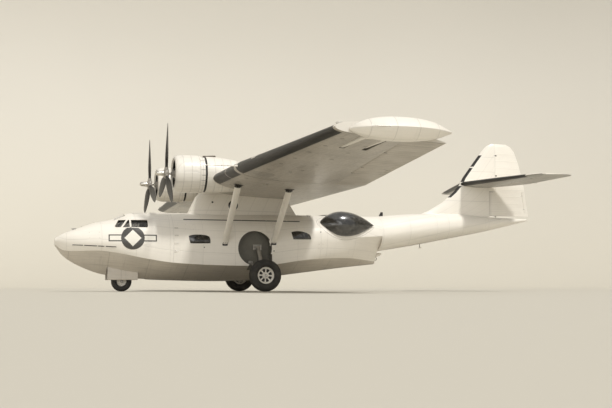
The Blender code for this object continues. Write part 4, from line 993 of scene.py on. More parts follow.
def make_wing():
    bm = bmesh.new()
    half = [0.0, 0.7, 1.4, 2.1, 2.80, 3.5, 4.2, 4.78, 4.84, 5.5, 6.20, WING_JOINT]
    foil_skin(bm, [-p for p in half[:0:-1]] + half, wing_section, wing_tone)
    # The two jacking pads
    station, level, thick = wing_place(5.0, 0.30)
    for _, side in SIDES:
        add_tube(bm, [at(station, side * 5.0, level), at(station, side * 5.0, level - thick - 0.03)], 0.09,
                 32, 1)
    piece("centre_wing", bm, WING_MATERIALS, nodes=["wing_centre"])
    for name, side in SIDES:
        spans = [WING_JOINT + PLANE_GAP, 6.46, 7.2, 8.0] + steps_between(8.8, 14.2, 9) + [14.88, WING_TIP]
        bm = bmesh.new()
        foil_skin(bm, [side * p for p in spans], wing_section, wing_tone)
        piece("outer_wing_" + name, bm, WING_MATERIALS, nodes=["wing_outer_" + name],
              cutters=outer_wing_cutters(name, side))


# Tail

FIN_BOOTS = ((2.00, 2.49), (2.66, 3.26), (3.31, 3.80))
FIN_BOOT, TAIL_BOOT = 0.12, 0.15


def fin_section(height, growth=0.0):
    front, rear, thickness = straight_row(FIN, height)
    hinge = (RUDDER_HINGE - front) / (rear - front)
    return (at(front - growth, 0, height), at(rear + growth, 0, height), X, thickness + 2 * growth, 0.0,
            FIN_BOOT, hinge)


def tail_section(out):
    front, rear, thickness = straight_row(TAILPLANE, abs(out))
    hinge = min(0.9, (ELEVATOR_HINGE - front) / (rear - front))
    return at(front, out, TAIL_HEIGHT), at(rear, out, TAIL_HEIGHT), Z, thickness, 0.0, TAIL_BOOT, hinge


def fin_radius(height):
    front, rear, thickness = straight_row(FIN, height)
    return foil((RUDDER_HINGE - front) / (rear - front), thickness) - 0.002


def tail_radius(out):
    front, rear, thickness = straight_row(TAILPLANE, out)
    return foil((ELEVATOR_HINGE - front) / (rear - front), thickness) - 0.002


def make_fin():
    heights = sorted({row[0] for row in FIN} | {h for pair in FIN_BOOTS for h in pair}
                     | {1.6, 2.4, 3.1, 4.08, 4.14, 4.25, 4.28})

    def tone(height, column, top):
        return 1 if column < BOOT_COLUMNS and any(low < height < high for low, high in FIN_BOOTS) else 0

    def bay(height, radius):
        return bay_ring(at(RUDDER_HINGE, 0, height), Y, X, radius + RUNNING_GAP)

    bm = bmesh.new()
    foil_skin(bm, heights, fin_section, tone)
    split = RUDDER_BALANCE_TOP + RUNNING_GAP
    uppers = [row[0] for row in FIN if row[0] > RUDDER_BALANCE_TOP]
    upper = [bay(h, fin_radius(h)) for h in [split] + uppers]
    upper.append(bay(uppers[-1] + 0.2, fin_radius(uppers[-1])))
    lower = [bay(h, RUDDER_BALANCE) for h in (0.5, split + 0.001)]
    piece("fin_skin", bm, ["fin", "boot"], nodes=["fin"],
          cutters=[hull_solid("boom_solid", BOOM, SECOND_STEP, BOOM_END, 20, "fin"),
                   solid("rudder_bay_upper", upper), solid("rudder_bay_lower", lower)])


def fin_solid():
    """The fin, a little wider than it is, to be cut out of the tailplane."""
    rings = []
    for height in (row[0] for row in FIN):
        lead, trail, _, thickness = fin_section(height, PLANE_GAP)[:4]
        chord = (trail - lead).length
        up, down = ([lead + Y * (k / 20 * chord) + X * (way * foil(k / 20, thickness)) for k in range(21)]
                    for way in (1, -1))
        rings.append(up + down[:0:-1])
    bm = bmesh.new()
    add_skin(bm, rings)
    bmesh.ops.triangulate(bm, faces=bm.faces)
    return raw("fin_solid", bm, ["fin"])


def make_tailplane():
    def tone(out, column, top):
        if column < BOOT_COLUMNS and 0.28 < abs(out) < 3.95:
            return 2
        return 0 if top else 1

    places = sorted({row[0] for row in TAILPLANE} | {0.6, 1.2, 1.7, 2.8, 3.4, 3.85, 4.3, 4.55})
    for name, side in SIDES:
        bm = bmesh.new()
        foil_skin(bm, [side * p for p in places], tail_section, tone)
        bay = [bay_ring(at(ELEVATOR_HINGE, side * row[0], TAIL_HEIGHT), Y, Z,
                        tail_radius(row[0]) + RUNNING_GAP)
               for row in TAILPLANE]
        bay.insert(0, [p - X * (side * 0.2) for p in bay[0]])
        bay.append([p + X * (side * 0.2) for p in bay[-1]])
        piece("tailplane_skin_" + name, bm, ["top", "tail_under", "boot"],
              nodes=["tailplane_" + name], cutters=[fin_solid(), solid("elevator_bay", bay)])


# Pylon and struts


def pylon_section(height):
    front, rear, width = straight_row(PYLON, height)
    levels = [height, height]
    if height >= PYLON[-1][0]:
        # The top lies along the sloping chord line of the wing
        levels = [WING[0][2] - math.tan(WING_INCIDENCE) * (station - WING[0][1])
                  for station in (front, rear)]
    return at(front, 0, levels[0]), at(rear, 0, levels[1]), X, width, 0.0, 0.2, 0.7


def make_pylon():
    bm = bmesh.new()
    foil_skin(bm, [0.80, 0.95, 1.10, 1.25, 1.35, 1.55, 1.75, 1.95, 2.10], pylon_section, lambda *_: 0)
    cutters = [hull_solid("hull_solid", table, first, last, 16, "top")
               for table, first, last in ((FOREBODY, 4.6, MAIN_STEP), (AFTERBODY, MAIN_STEP, 10.5))]
    piece("pylon_skin", bm, ["fin"], nodes=["pylon"], cutters=cutters)


def strut_line(foot, head, side):
    return at(foot[0], side * foot[1], foot[2]), at(head[0], side * head[1], head[2])


def make_struts():
    half_chord, half_width = 0.12, 0.055
    for name, side in SIDES:
        for place, foot, head in STRUTS:
            start, end = strut_line(foot, head, side)
            along = (end - start).normalized()
            across = along.cross(Y).normalized()
            # Round in front, drawn in towards the rear edge
            section = []
            for angle in circle(36):
                nose = math.cos(angle)
                taper = 1.0 if nose > 0 else 1.0 + 0.25 * nose
                section.append((-nose * half_chord, math.sin(angle) * half_width * taper))
            bm = bmesh.new()
            add_skin(bm, [[centre + Y * back + across * out for back, out in section]
                          for centre in (start - along * 0.12, start.lerp(end, 0.5), end + along * 0.12)])
            piece("strut_skin_%s_%s" % (place, name), bm, ["cream"],
                  nodes=["strut_%s_%s" % (place, name)], angle=60)


# Engines

# Columns: radius, station
COWL_PROFILE = (
    (0.640, 4.995), (0.672, 4.995), (0.683, 4.90), (0.688, 4.78), (0.688, 4.60), (0.688, 4.40),
    (0.684, 4.32), (0.674, 4.24), (0.660, 4.17), (0.640, 4.115), (0.615, 4.076), (0.590, 4.053),
    (0.566, 4.045), (0.545, 4.053), (0.529, 4.075), (0.520, 4.11), (0.524, 4.145), (0.540, 4.17),
    (0.565, 4.19), (0.600, 4.23), (0.628, 4.28), (0.640, 4.34), (0.640, 4.60),
)
# The slot where the cooling air leaves, near black as painted shade in it: its rear end and the share of the
# nacelle's radius in it
SLOT_END, SLOT_SHARE = 5.195, 0.94
# A cowl flap's section as radii and stations, how many there are, the degrees between them and half of one's
FLAP_SECTION = ((0.690, 4.955), (0.6895, 4.985), (0.6880, 5.12), (0.6780, 5.12), (0.6690, 4.985),
                (0.6700, 4.955))
FLAP_COUNT, FLAP_PITCH, FLAP_HALF = 18, 16.4, math.radians(7.7)


def make_nacelle(name, side):
    port = side * ENGINE_PORT
    rings, reach = [], []
    for station, share in ([(5.02, SLOT_SHARE), (SLOT_END, SLOT_SHARE), (SLOT_END + 0.008, 1.0)]
                           + [(place, 1.0) for place in steps_between(5.25, 8.20, 26)]):
        height, wide, high = table_row(NACELLE, station)
        rings.append([at(station, port + share * wide * math.cos(a), height + share * high * math.sin(a))
                      for a in circle(64)])
        reach.append(station)
    bm = bmesh.new()
    add_skin(bm, rings, lambda row, point: 1 if row < 2 else 0, lambda row, point: point * 0.0644, reach)
    piece("nacelle_skin_" + name, bm, ["cowl", "dark"], nodes=["nacelle_" + name],
          angle=40)

    bm = bmesh.new()
    # The ring's inside and rear face take the near-black slot: painted shade.
    add_turned(bm, COWL_PROFILE, at(0.0, port, ENGINE_HEIGHT), Y, 112, closed=True,
               tones=[1] + [0] * 14 + [1] * 9)
    piece("cowl_ring_" + name, bm, ["cowl", "dark"], nodes=["cowling_" + name], angle=40)

    # Cowl flaps: separate leaves, a little open, round the lower three quarters
    bm = bmesh.new()
    for index in range(FLAP_COUNT):
        middle = math.radians(-90 + (index - (FLAP_COUNT - 1) / 2) * FLAP_PITCH)
        rows = [[at(station, port + radius * math.cos(a), ENGINE_HEIGHT + radius * math.sin(a))
                 for a in steps_between(middle - FLAP_HALF, middle + FLAP_HALF, 5)]
                for radius, station in FLAP_SECTION]
        rows.append(rows[0])
        add_skin(bm, rows, 0, closed=False)
        for end in (0, -1):
            bm.faces.new([bm.verts.new(row[end]) for row in rows[:-1]])
    bmesh.ops.remove_doubles(bm, verts=bm.verts, dist=1e-5)
    piece("cowl_flaps_" + name, bm, ["cowl"])


def barrel(bm, base, radial, back):
    """One finned cylinder, standing out from the crankcase."""
    profile = [(0.085, 0.26), (0.085, 0.29)]
    for k in range(11):
        reach = 0.30 + k * 0.0185
        profile += [(0.070, reach), (0.104, reach + 0.002), (0.104, reach + 0.0065), (0.070, reach + 0.0085)]
    profile += [(0.094, 0.507), (0.098, 0.530), (0.092, 0.585), (0.060, 0.612), (0.0004, 0.618)]
    add_turned(bm, profile, base, radial, 16, 0)
    across = radial.cross(back)
    for way in (1, -1):
        # Rocker boxes, pushrod tubes and plugs
        head = base + radial * 0.588 + across * (way * 0.052)
        add_tube(bm, [head - back * 0.05 - radial * 0.02, head + back * 0.035 + radial * 0.02], 0.030, 10, 1)
        add_tube(bm, [base + radial * 0.27 - back * 0.10 + across * (way * 0.045),
                      head - back * 0.075 - radial * 0.02], 0.0085, 8, 2)
    add_tube(bm, [base + radial * 0.545 - back * 0.10, base + radial * 0.545 - back * 0.125], 0.012, 8, 3)
    add_tube(bm, [base + radial * 0.55, base + radial * 0.6363], 0.022, 10, 1)


CYLINDERS = 7


def make_cylinders(name, port):
    bm = bmesh.new()
    for station, offset in ((4.44, 0.0), (4.74, 0.5)):
        for index in range(CYLINDERS):
            angle = 2 * math.pi * (index + offset) / CYLINDERS
            barrel(bm, at(station, port, ENGINE_HEIGHT), clock(angle), Y)
    piece("cylinders_" + name, bm, ["alloy", "black", "chrome", "steel"], angle=35)


def make_crankcase(name, port):
    """The case with its bolts, two magnetos, the governor, and the ignition ring with its leads."""
    centre = at(0.0, port, ENGINE_HEIGHT)
    bm = bmesh.new()
    case = [(0.0, 3.99), (0.075, 3.992), (0.100, 4.0), (0.108, 4.03), (0.150, 4.06), (0.190, 4.11),
            (0.235, 4.17), (0.262, 4.23), (0.275, 4.26), (0.30, 4.27), (0.30, 4.86), (0.40, 4.90),
            (0.42, 4.95), (0.42, 5.019), (0.0, 5.0195)]
    add_turned(bm, case, centre, Y, 56, 0)
    add_turned(bm, [(0.0, 3.72), (0.045, 3.72), (0.045, 4.0), (0.0, 4.0)], centre, Y, 28, 1)
    for ring_radius, station, count, size in ((0.252, 4.205, 14, 0.010), (0.118, 4.035, 10, 0.007)):
        for k in range(count):
            a = 2 * math.pi * (k + 0.5) / count
            spot = centre + Vector((math.cos(a), 0, math.sin(a))) * ring_radius + Y * station
            add_tube(bm, [spot + Y * 0.02, spot - Y * 0.016], size, 6, 1)
    for a, reach, size in ((0.9, 0.165, 0.042), (math.pi - 0.9, 0.165, 0.042), (-math.pi / 2, 0.17, 0.05)):
        spot = centre + Vector((math.cos(a), 0, math.sin(a))) * reach + Y * 4.12
        add_tube(bm, [spot + Y * 0.08, spot - Y * 0.05, spot - Y * 0.075], [size, size, size * 0.7], 16, 2)
    add_turned(bm, torus(0.292, 0.014, 8, 4.262), centre, Y, 56, 1, closed=True)
    for k in range(2 * CYLINDERS):
        way = clock(2 * math.pi * k / (2 * CYLINDERS))
        deep = 4.30 if k % 2 == 0 else 4.58
        lead = ((0.30, 4.262), (0.42, 4.27), (0.545, deep))
        add_tube(bm, [centre + way * reach + Y * station for reach, station in lead], 0.0065, 6, 2)
    piece("crankcase_" + name, bm, ["grey", "steel", "black"], nodes=["engine_" + name],
          angle=32)


# Columns: reach, chord, thickness, degrees of pitch. Past the last but one the tip is rounded off.
BLADE_TIP = 1.72
BLADE = (
    (0.10, 0.105, 0.105, 46), (0.20, 0.105, 0.105, 46), (0.32, 0.13, 0.095, 42), (0.60, 0.25, 0.050, 34),
    (1.00, 0.30, 0.034, 26), (1.45, 0.265, 0.022, 20), (BLADE_TIP, 0.18, 0.014, 17),
    (PROPELLER_RADIUS, 0.05, 0.006, 15),
)


def blade(bm, centre, angle):
    """One propeller blade: round at the root, a thin twisted section further out."""
    radial = clock(angle)
    across = radial.cross(Y)
    rings = []
    for reach in steps_between(0.10, BLADE_TIP, 22) + [1.76, 1.79, 1.81, 1.822, PROPELLER_RADIUS]:
        chord, thickness, pitch = table_row(BLADE, reach)
        if reach > BLADE_TIP:
            rest = (reach - BLADE_TIP) / (PROPELLER_RADIUS - BLADE_TIP)
            chord = 0.18 * math.sqrt(max(0.0, 1 - rest * rest)) + 0.012
            thickness = spread(0.014, 0.006, rest)
        lean = math.radians(pitch)
        wide = across * math.cos(lean) + Y * math.sin(lean)
        thin = Y * math.cos(lean) - across * math.sin(lean)
        middle = centre + radial * reach
        rings.append([middle + wide * (chord / 2 * math.cos(a)) + thin * (thickness / 2 * math.sin(a))
                      for a in circle(20)])
    add_skin(bm, rings)


def make_propeller(name, side, turn):
    port = side * ENGINE_PORT
    body = "propeller_%s_body" % name
    base = at(0.0, port, ENGINE_HEIGHT)
    centre = base + Y * PROPELLER_STATION
    bm = bmesh.new()
    for index in range(3):
        blade(bm, centre, math.radians(turn + 120 * index))
    piece("blades_" + name, bm, ["black"], body, ["propeller_" + name], angle=40)

    bm = bmesh.new()
    dome = [(0.0, 3.402), (0.028, 3.405), (0.052, 3.418), (0.070, 3.442), (0.082, 3.475), (0.088, 3.52),
            (0.090, 3.60), (0.092, 3.655), (0.104, 3.660), (0.104, 3.690), (0.094, 3.694), (0.094, 3.71)]
    hub = [(0.094, 3.70), (0.145, 3.715), (0.165, 3.745), (0.172, 3.80), (0.165, 3.855), (0.145, 3.885),
           (0.094, 3.893), (0.060, 3.899), (0.0, 3.899)]
    add_turned(bm, dome, base, Y, 40, 0)
    add_turned(bm, hub, base, Y, 40, 1)
    for index in range(3):
        radial = clock(math.radians(turn + 120 * index))
        add_tube(bm, [centre + radial * 0.10, centre + radial * 0.20, centre + radial * 0.205,
                      centre + radial * 0.235],
                 [0.072, 0.072, 0.066, 0.066], 24, 1)
        # The clamp's bolts and the blade's counterweight
        for lift in (-1, 1):
            spot = centre + radial * 0.17 + Y * (lift * 0.055) + radial.cross(Y) * 0.055
            add_tube(bm, [spot - radial * 0.03, spot + radial * 0.03], 0.010, 8, 0)
        heavy = centre + radial * 0.15 - Y * 0.02 - radial.cross(Y) * 0.095
        add_tube(bm, [heavy - Y * 0.045, heavy + Y * 0.03], 0.028, 12, 1)
    piece("hub_" + name, bm, ["dome", "grey"], body, angle=35)


def make_power():
    for name, side, turn in (("port", 1, 8.0), ("starboard", -1, -4.0)):
        make_nacelle(name, side)
        make_cylinders(name, side * ENGINE_PORT)
        make_crankcase(name, side * ENGINE_PORT)
        make_propeller(name, side, turn)


make_bow()
make_centre()
make_rear_hull()
make_wing()
make_fin()
make_tailplane()
make_pylon()
make_struts()
make_power()

# Places on the skins


def hull_table(station):
    if station < MAIN_STEP:
        return FOREBODY
    return AFTERBODY if station < SECOND_STEP else BOOM


def along_outline(points, value, column):
    """The other coordinate of a polyline of pairs at a value of one that runs one way."""
    for before, after in zip(points, points[1:]):
        low, high = sorted((before[column], after[column]))
        if low <= value <= high and high > low:
            t = (value - before[column]) / (after[column] - before[column])
            return spread(before[1 - column], after[1 - column], t)
    return points[-1][1 - column]


def side_at(side):
    """Hull side: station and height."""
    def place(station, height):
        half = half_outline(hull_table(station), station)[BOTTOM_STEPS:]
        return at(station, side * along_outline(half, height, 1), height)
    return place, Vector((side, 0, 0.2))


def deck_place(station, port):
    """Hull top: station and port."""
    half = half_outline(hull_table(station), station)[BOTTOM_STEPS + FLANK_STEPS:]
    return at(station, port, along_outline(half, abs(port), 0))


def wing_at(top):
    """Wing skin: distance out and distance behind the leading edge."""
    return (lambda out, reach: wing_point(out, reach, top)), WING_NORMAL * top


def nacelle_at(port):
    """Nacelle skin: station and angle about its middle, from port round over the top."""
    def place(station, angle):
        height, wide, high = table_row(NACELLE, station)
        return at(station, port + wide * math.cos(angle), height + high * math.sin(angle))
    return place


def surface_point(where, outward, a, b, lift):
    """A point at a height over a skin."""
    point = where(a, b)
    first = where(a + 0.004, b) - where(a - 0.004, b)
    second = where(a, b + 0.004) - where(a, b - 0.004)
    normal = first.cross(second)
    if normal.length < 1e-9:
        normal = Vector(outward)
    normal.normalize()
    if callable(outward):
        outward = outward(point)
    if normal.dot(outward) < 0:
        normal.negate()
    return point + normal * lift


# Plates and strips reach this far into the skin under them
SINK = 0.004


def patch(bm, skin, rows, lift, across=6, tone=0):
    """A thin plate on a skin. rows are (a, lowest b, highest b)."""
    layer = skin_map(bm)
    grids = [[[bm.verts.new(surface_point(*skin, a, spread(low, high, k / across), height))
               for k in range(across + 1)] for a, low, high in rows] for height in (lift, -SINK)]
    last = len(rows) - 1
    faces = [(grid[i][k], grid[i][k + 1], grid[i + 1][k + 1], grid[i + 1][k])
             for grid in grids for i in range(last) for k in range(across)]
    top, under = grids
    faces += [(top[i][k], top[i + 1][k], under[i + 1][k], under[i][k]) for i in range(last)
              for k in (0, across)]
    faces += [(top[i][k], top[i][k + 1], under[i][k + 1], under[i][k]) for k in range(across)
              for i in (0, last)]
    flat_faces(bm, layer, faces, tone)


def rounded(a0, a1, b0, b1, corner):
    """Rows of a rectangle with round corners."""
    rows = []
    for angle in steps_between(0, math.pi / 2, 4):
        inset = corner * (1 - math.sin(angle))
        rows.append((a0 + corner * (1 - math.cos(angle)), b0 + inset, b1 - inset))
    return rows + [(a1 - (a - a0), low, high) for a, low, high in rows[::-1]]


def disc(a, b, radius, steps=16):
    """Rows of a disc."""
    rows = []
    for angle in steps_between(0, math.pi, steps):
        half = max(radius * math.sin(angle), radius * 0.02)
        rows.append((a - radius * math.cos(angle), b - half, b + half))
    return rows


def loop_of(rows):
    """The outline of a patch's rows, as pairs going round."""
    return [(a, low) for a, low, _ in rows] + [(a, high) for a, _, high in rows[::-1]]


def band(bm, skin, loop, width, lift, tone=0, closed=True):
    """A raised strip along a line on a skin, outside the line."""
    count = len(loop)
    middle = (sum(p[0] for p in loop) / count, sum(p[1] for p in loop) / count)
    rings = []
    for k, near in enumerate(loop):
        before = loop[k - 1] if closed or k > 0 else loop[0]
        after = loop[(k + 1) % count] if closed or k < count - 1 else loop[-1]
        way = Vector((after[0] - before[0], after[1] - before[1]))
        if way.length < 1e-9:
            way = Vector((1, 0))
        side = Vector((way.y, -way.x)).normalized()
        if closed and side.dot(Vector((near[0] - middle[0], near[1] - middle[1]))) < 0:
            side.negate()
        far = (near[0] + side.x * width, near[1] + side.y * width)
        rings.append([surface_point(*skin, *place, height)
                      for place, height in ((near, -SINK), (near, lift), (far, lift), (far, -SINK))])
    if closed:
        rings.append([p.copy() for p in rings[0]])
    rows = add_skin(bm, rings, tone, caps=(not closed, not closed))
    if closed:
        bmesh.ops.remove_doubles(bm, verts=rows[0] + rows[-1], dist=1e-6)


def studs(bm, skin, places, radius, lift, tone, sides=8):
    """Round heads on a skin."""
    for a, b in places:
        foot = surface_point(*skin, a, b, -0.002)
        head = surface_point(*skin, a, b, lift)
        add_tube(bm, [foot, foot.lerp(head, 0.6), head], [radius, radius, radius * 0.6], sides, tone)


# Cockpit


def make_glazing():
    sheet, inner = 0.012, HULL_WALL + 0.0006
    rings = []
    for station in steps_between(2.05, 3.7, 22):
        wide, wide_height, deck = table_row(FOREBODY, station)[5:]
        arcs = []
        for depth in (inner, inner + sheet):
            half = deck_curve(wide - depth, wide_height, deck - depth, DECK_STEPS)[4:]
            arcs.append(half + [(-port, height) for port, height in half[-2::-1]])
        rings.append([at(station, port, height) for port, height in arcs[0] + arcs[1][::-1]])
    bm = bmesh.new()
    add_skin(bm, rings)
    piece("cockpit_glass", bm, ["glass"], nodes=["cockpit_glazing"], angle=40)

    # Frames round the panes, on the skin
    bm = bmesh.new()
    for _, side in SIDES:
        for outline in SIDE_PANES:
            band(bm, side_at(side), finer(outline, 4), 0.022, 0.007)
    for front, rear, inner_port, outer_port in TOP_PANES:
        for _, side in SIDES:
            loop = loop_of([(a, side * inner_port, side * outer_port)
                            for a in steps_between(front, rear, 6)])
            band(bm, (deck_place, Z), finer(loop, 3), 0.022, 0.007)
    piece("window_frames", bm, ["cream"], angle=35)


PANEL_FACE = 2.072
SEAT_PORT = 0.52


def dial(bm, centre, radius):
    """A round instrument facing aft: bezel, face, marks and a needle."""
    ring = [(radius * 1.16, 0.0), (radius * 1.16, 0.010), (radius * 1.02, 0.014), (radius, 0.006),
            (radius, 0.0)]
    add_turned(bm, ring, centre, Y, 20, 1, closed=True)
    add_turned(bm, [(0.0, 0.0), (radius, 0.0), (radius, 0.004), (0.0, 0.004)], centre, Y, 20, 0)
    for k in range(10):
        way = clock(math.radians(-140 + 31 * k))
        add_tube(bm, [centre + way * radius * 0.72 + Y * 0.0045, centre + way * radius * 0.92 + Y * 0.0045],
                 0.0016, 4, 2)
    way = clock(0.7)
    add_tube(bm, [centre - way * radius * 0.2 + Y * 0.007, centre + way * radius * 0.66 + Y * 0.007],
             [0.003, 0.001], 5, 2)


def make_panel():
    """The board with its cut-outs for legs, its dials and its row of switches."""
    bm = bmesh.new()
    low, high = FLOOR + 0.001, 0.41
    outline = [(-0.79, low), (-0.79, high - 0.10), (-0.68, high), (0.68, high), (0.79, high - 0.10),
               (0.79, low), (0.30, low), (0.24, low + 0.16), (-0.24, low + 0.16), (-0.30, low)]
    add_skin(bm, [[at(station, port, height) for port, height in outline]
                  for station in (2.022, PANEL_FACE)], 0)
    for _, side in SIDES:
        for height in (0.30, 0.14):
            for k in range(3):
                dial(bm, at(PANEL_FACE, side * (0.34 + 0.135 * k), height), 0.05)
        for port in (0.30, 0.52):
            dial(bm, at(PANEL_FACE, side * port, -0.02), 0.038)
    for k in range(4):
        for height in (0.31, 0.20):
            dial(bm, at(PANEL_FACE, -0.15 + 0.10 * k, height), 0.036)
    for k in range(9):
        spot = at(PANEL_FACE, -0.20 + 0.05 * k, 0.06)
        add_tube(bm, [spot, spot + Y * 0.012], 0.012, 8, 1)
        add_tube(bm, [spot + Y * 0.010, spot + Y * 0.028 + Z * 0.012], [0.004, 0.006], 6, 2)
    piece("instrument_board", bm, ["black", "steel", "mark_light"],
          nodes=["instrument_panel"], angle=35)


def make_glare_shield():
    bm = bmesh.new()
    rings = []
    half = 0.78
    section = ((1.84, 0.392), (2.0, 0.405), (2.125, 0.395), (2.138, 0.378), (2.12, 0.374))
    for port in steps_between(-half, half, 16):
        crown = 0.030 * (1 - (port / half) ** 2)
        rings.append([at(1.825, port, 0.372),
                      *(at(station, port, height + crown) for station, height in section),
                      at(2.0, port, 0.380)])
    add_skin(bm, rings, 0)
    piece("glare_shield", bm, ["leather"], angle=50)


def make_controls():
    """The yoke beam with its two wheels, pedals, and the throttles under the roof."""
    bm = bmesh.new()
    for _, side in SIDES:
        add_tube(bm, [at(2.36, side * 1.0, FLOOR + 0.02), at(2.36, side * 0.98, -0.05),
                      at(2.35, side * 0.90, 0.06), at(2.35, side * 0.70, 0.09), at(2.35, 0, 0.09)],
                 0.026, 14, 0)
        hub = at(2.35, side * SEAT_PORT, 0.10)
        add_tube(bm, [hub, hub + Y * 0.10], 0.036, 16, 0)
        wheel = hub + Y * 0.10
        add_turned(bm, torus(0.165, 0.013, 8), wheel, Y, 32, 1, closed=True)
        for angle in (0.0, 2.1, -2.1):
            add_tube(bm, [wheel, wheel + Vector((math.sin(angle), 0, -math.cos(angle))) * 0.165],
                     [0.016, 0.010], 8, 0)
        for foot in (-0.13, 0.13):
            spot = at(2.22, side * SEAT_PORT + foot, FLOOR + 0.16)
            add_box(bm, spot - Vector((0.045, 0.012, 0.06)), spot + Vector((0.045, 0.012, 0.06)), 1,
                    Matrix.Rotation(math.radians(-20), 3, "X"))
            add_tube(bm, [spot, at(2.12, side * SEAT_PORT + foot, FLOOR + 0.02)], 0.010, 8, 0)
    head = at(2.78, 0, 0.93)
    add_box(bm, head - Vector((0.10, 0.09, 0.03)), head + Vector((0.10, 0.09, 0.05)), 1)
    for k in range(6):
        top = head + X * (-0.075 + 0.03 * k) - Z * 0.02
        lean = 0.03 * math.sin(k * 1.3)
        add_tube(bm, [top, top - Z * 0.11 + Y * lean], 0.005, 6, 0)
        add_tube(bm, [top - Z * 0.10 + Y * lean, top - Z * 0.135 + Y * lean], 0.012, 8, 2)
    piece("controls", bm, ["steel", "black", "mark_light"], angle=40)


CUSHION_CELL = 0.011
CUSHION_SWELL = 0.012


def swell(obj):
    settings = obj.modifiers.new("cloth", "CLOTH").settings
    settings.use_pressure = True
    settings.uniform_pressure_force = 4.0
    settings.effector_weights.gravity = 0.0
    settings.quality = 5
    for frame_number in range(1, 15):
        bpy.context.scene.frame_set(frame_number)
    settle(obj)
    bpy.context.scene.frame_set(1)


def cushion_form(name, low, high):
    """A pad that starts as a block, is blown up, and gets a seam round its edge and sewn channels."""
    bm = bmesh.new()
    bmesh.ops.create_cube(bm, size=1.0)
    size = [high[k] - low[k] for k in range(3)]
    bmesh.ops.scale(bm, vec=size, verts=bm.verts)
    obj = raw(name, bm, ["leather"])
    remesh = obj.modifiers.new("remesh", "REMESH")
    remesh.mode = "VOXEL"
    remesh.voxel_size = CUSHION_CELL
    settle(obj)
    start = [v.co.copy() for v in obj.data.vertices]
    swell(obj)
    thin = min(range(3), key=lambda k: size[k])
    wide = [k for k in range(3) if k != thin]
    for v, rest in zip(obj.data.vertices, start):
        move = v.co - rest
        if move.length > CUSHION_SWELL:
            v.co = rest + move.normalized() * CUSHION_SWELL
        edge = abs(rest[thin]) / (size[thin] / 2)
        pull = 0.004 * max(0.0, 1 - abs(edge - 0.55) / 0.25) if edge < 0.9 else 0.0
        face = 1.0 if edge > 0.9 else 0.0
        for line in (-1 / 6, 1 / 6):
            away = abs(rest[wide[0]] / size[wide[0]] - line) * size[wide[0]]
            pull_in = 0.007 * math.exp(-(away / 0.010) ** 2) * face
            v.co[thin] -= pull_in * (1 if rest[thin] > 0 else -1)
        for k in wide:
            v.co[k] -= pull * (1 if rest[k] > 0 else -1) * (abs(rest[k]) / (size[k] / 2)) ** 6
    sub = obj.modifiers.new("smooth", "SUBSURF")
    sub.levels = sub.render_levels = 1
    settle(obj)
    obj.data.transform(Matrix.Translation([(a + b) / 2 for a, b in zip(low, high)]))
    obj.data.shade_smooth()
    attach(obj, "airframe")


# Columns: station, height, half-width
SEAT_PAN = (
    (2.835, -0.045, 0.205), (2.86, -0.048, 0.212), (3.0, -0.048, 0.215), (3.20, -0.045, 0.215),
    (3.265, 0.02, 0.212), (3.285, 0.20, 0.208), (3.300, 0.42, 0.198), (3.305, 0.56, 0.17),
    (3.306, 0.60, 0.12),
)


def make_seats():
    """Buckets of sheet metal with rolled edges, on tube stands, with their pads."""
    for name, side in (("pilot", 1), ("copilot", -1)):
        middle = side * SEAT_PORT
        rings = []
        for index, (station, level, half) in enumerate(SEAT_PAN):
            rise = 0.075 if index < 6 else 0.0
            inner = [at(station, middle + half * t, level + rise * abs(t) ** 6)
                     for t in steps_between(-1, 1, 12)]
            sheet = Vector((0, 0.006, -0.010) if index < 4 else (0, 0.010, -0.002))
            rings.append(inner + [p + sheet for p in inner[::-1]])
        bm = bmesh.new()
        add_skin(bm, rings, 0)
        for across in (-0.12, 0.12):
            for *ends, radius, sides in (((2.93, FLOOR + 0.002), (2.93, -0.05), 0.018, 12),
                                         ((3.17, FLOOR + 0.002), (3.17, -0.05), 0.018, 12),
                                         ((2.93, FLOOR + 0.09), (3.17, -0.10), 0.011, 10),
                                         ((2.89, FLOOR + 0.010), (3.21, FLOOR + 0.010), 0.010, 10)):
                add_tube(bm, [at(station, middle + across, height) for station, height in ends], radius,
                         sides, 1)
        for across in (-0.215, 0.215):
            add_tube(bm, [at(station, middle + across, height)
                          for station, height in ((3.28, 0.16), (3.10, 0.165), (2.96, 0.16))],
                     [0.016, 0.018, 0.014], 12, 1)
        piece(name + "_bucket", bm, ["alloy", "steel"], nodes=[name + "_seat"],
              angle=45)
        cushion_form(name + "_cushion", at(2.865, middle - 0.185, -0.030), at(3.205, middle + 0.185, 0.050))
        cushion_form(name + "_back_pad", at(3.185, middle - 0.170, 0.075), at(3.262, middle + 0.170, 0.50))


# Blisters


def make_blisters():
    for name, side in SIDES:
        piece("blister_glass_" + name, spindle(side, -0.0005, 40, 80), ["blister"],
              nodes=["blister_" + name], angle=40,
              cutters=[raw("inside", spindle(side, -0.012, 40, 80), ["blister"]),
                       hull_solid("waist_cut", AFTERBODY, MAIN_STEP, SECOND_STEP, 60)])


# Floats

# Columns: part of the depth, part of the half-width
FLOAT_SHAPE = ((0.0, 0.82), (0.30, 1.0), (0.62, 0.90), (0.88, 0.40), (1.0, 0.0))


def float_ring(station, side):
    """A float's section when it is folded up as a wing tip: deck inboard, keel outboard."""
    half_width, depth = table_row(FLOAT, station)
    outs = [0.0, 0.04, 0.10, 0.16, 0.23, 0.30, 0.38, 0.46, 0.54, 0.62, 0.69, 0.76, 0.82, 0.88, 0.92, 0.96,
            1.0]
    half = [(out, max(0.0, table_row(FLOAT_SHAPE, out)[0])) for out in outs]
    half[-1] = (1.0, 0.0)
    points = [(out, -across) for out, across in half] + [(out, across) for out, across in half[-2::-1]]
    return [at(station, side * (FLOAT_DECK + PLANE_GAP + depth * out),
               FLOAT_MIDDLE_HEIGHT + half_width * across)
            for out, across in points]


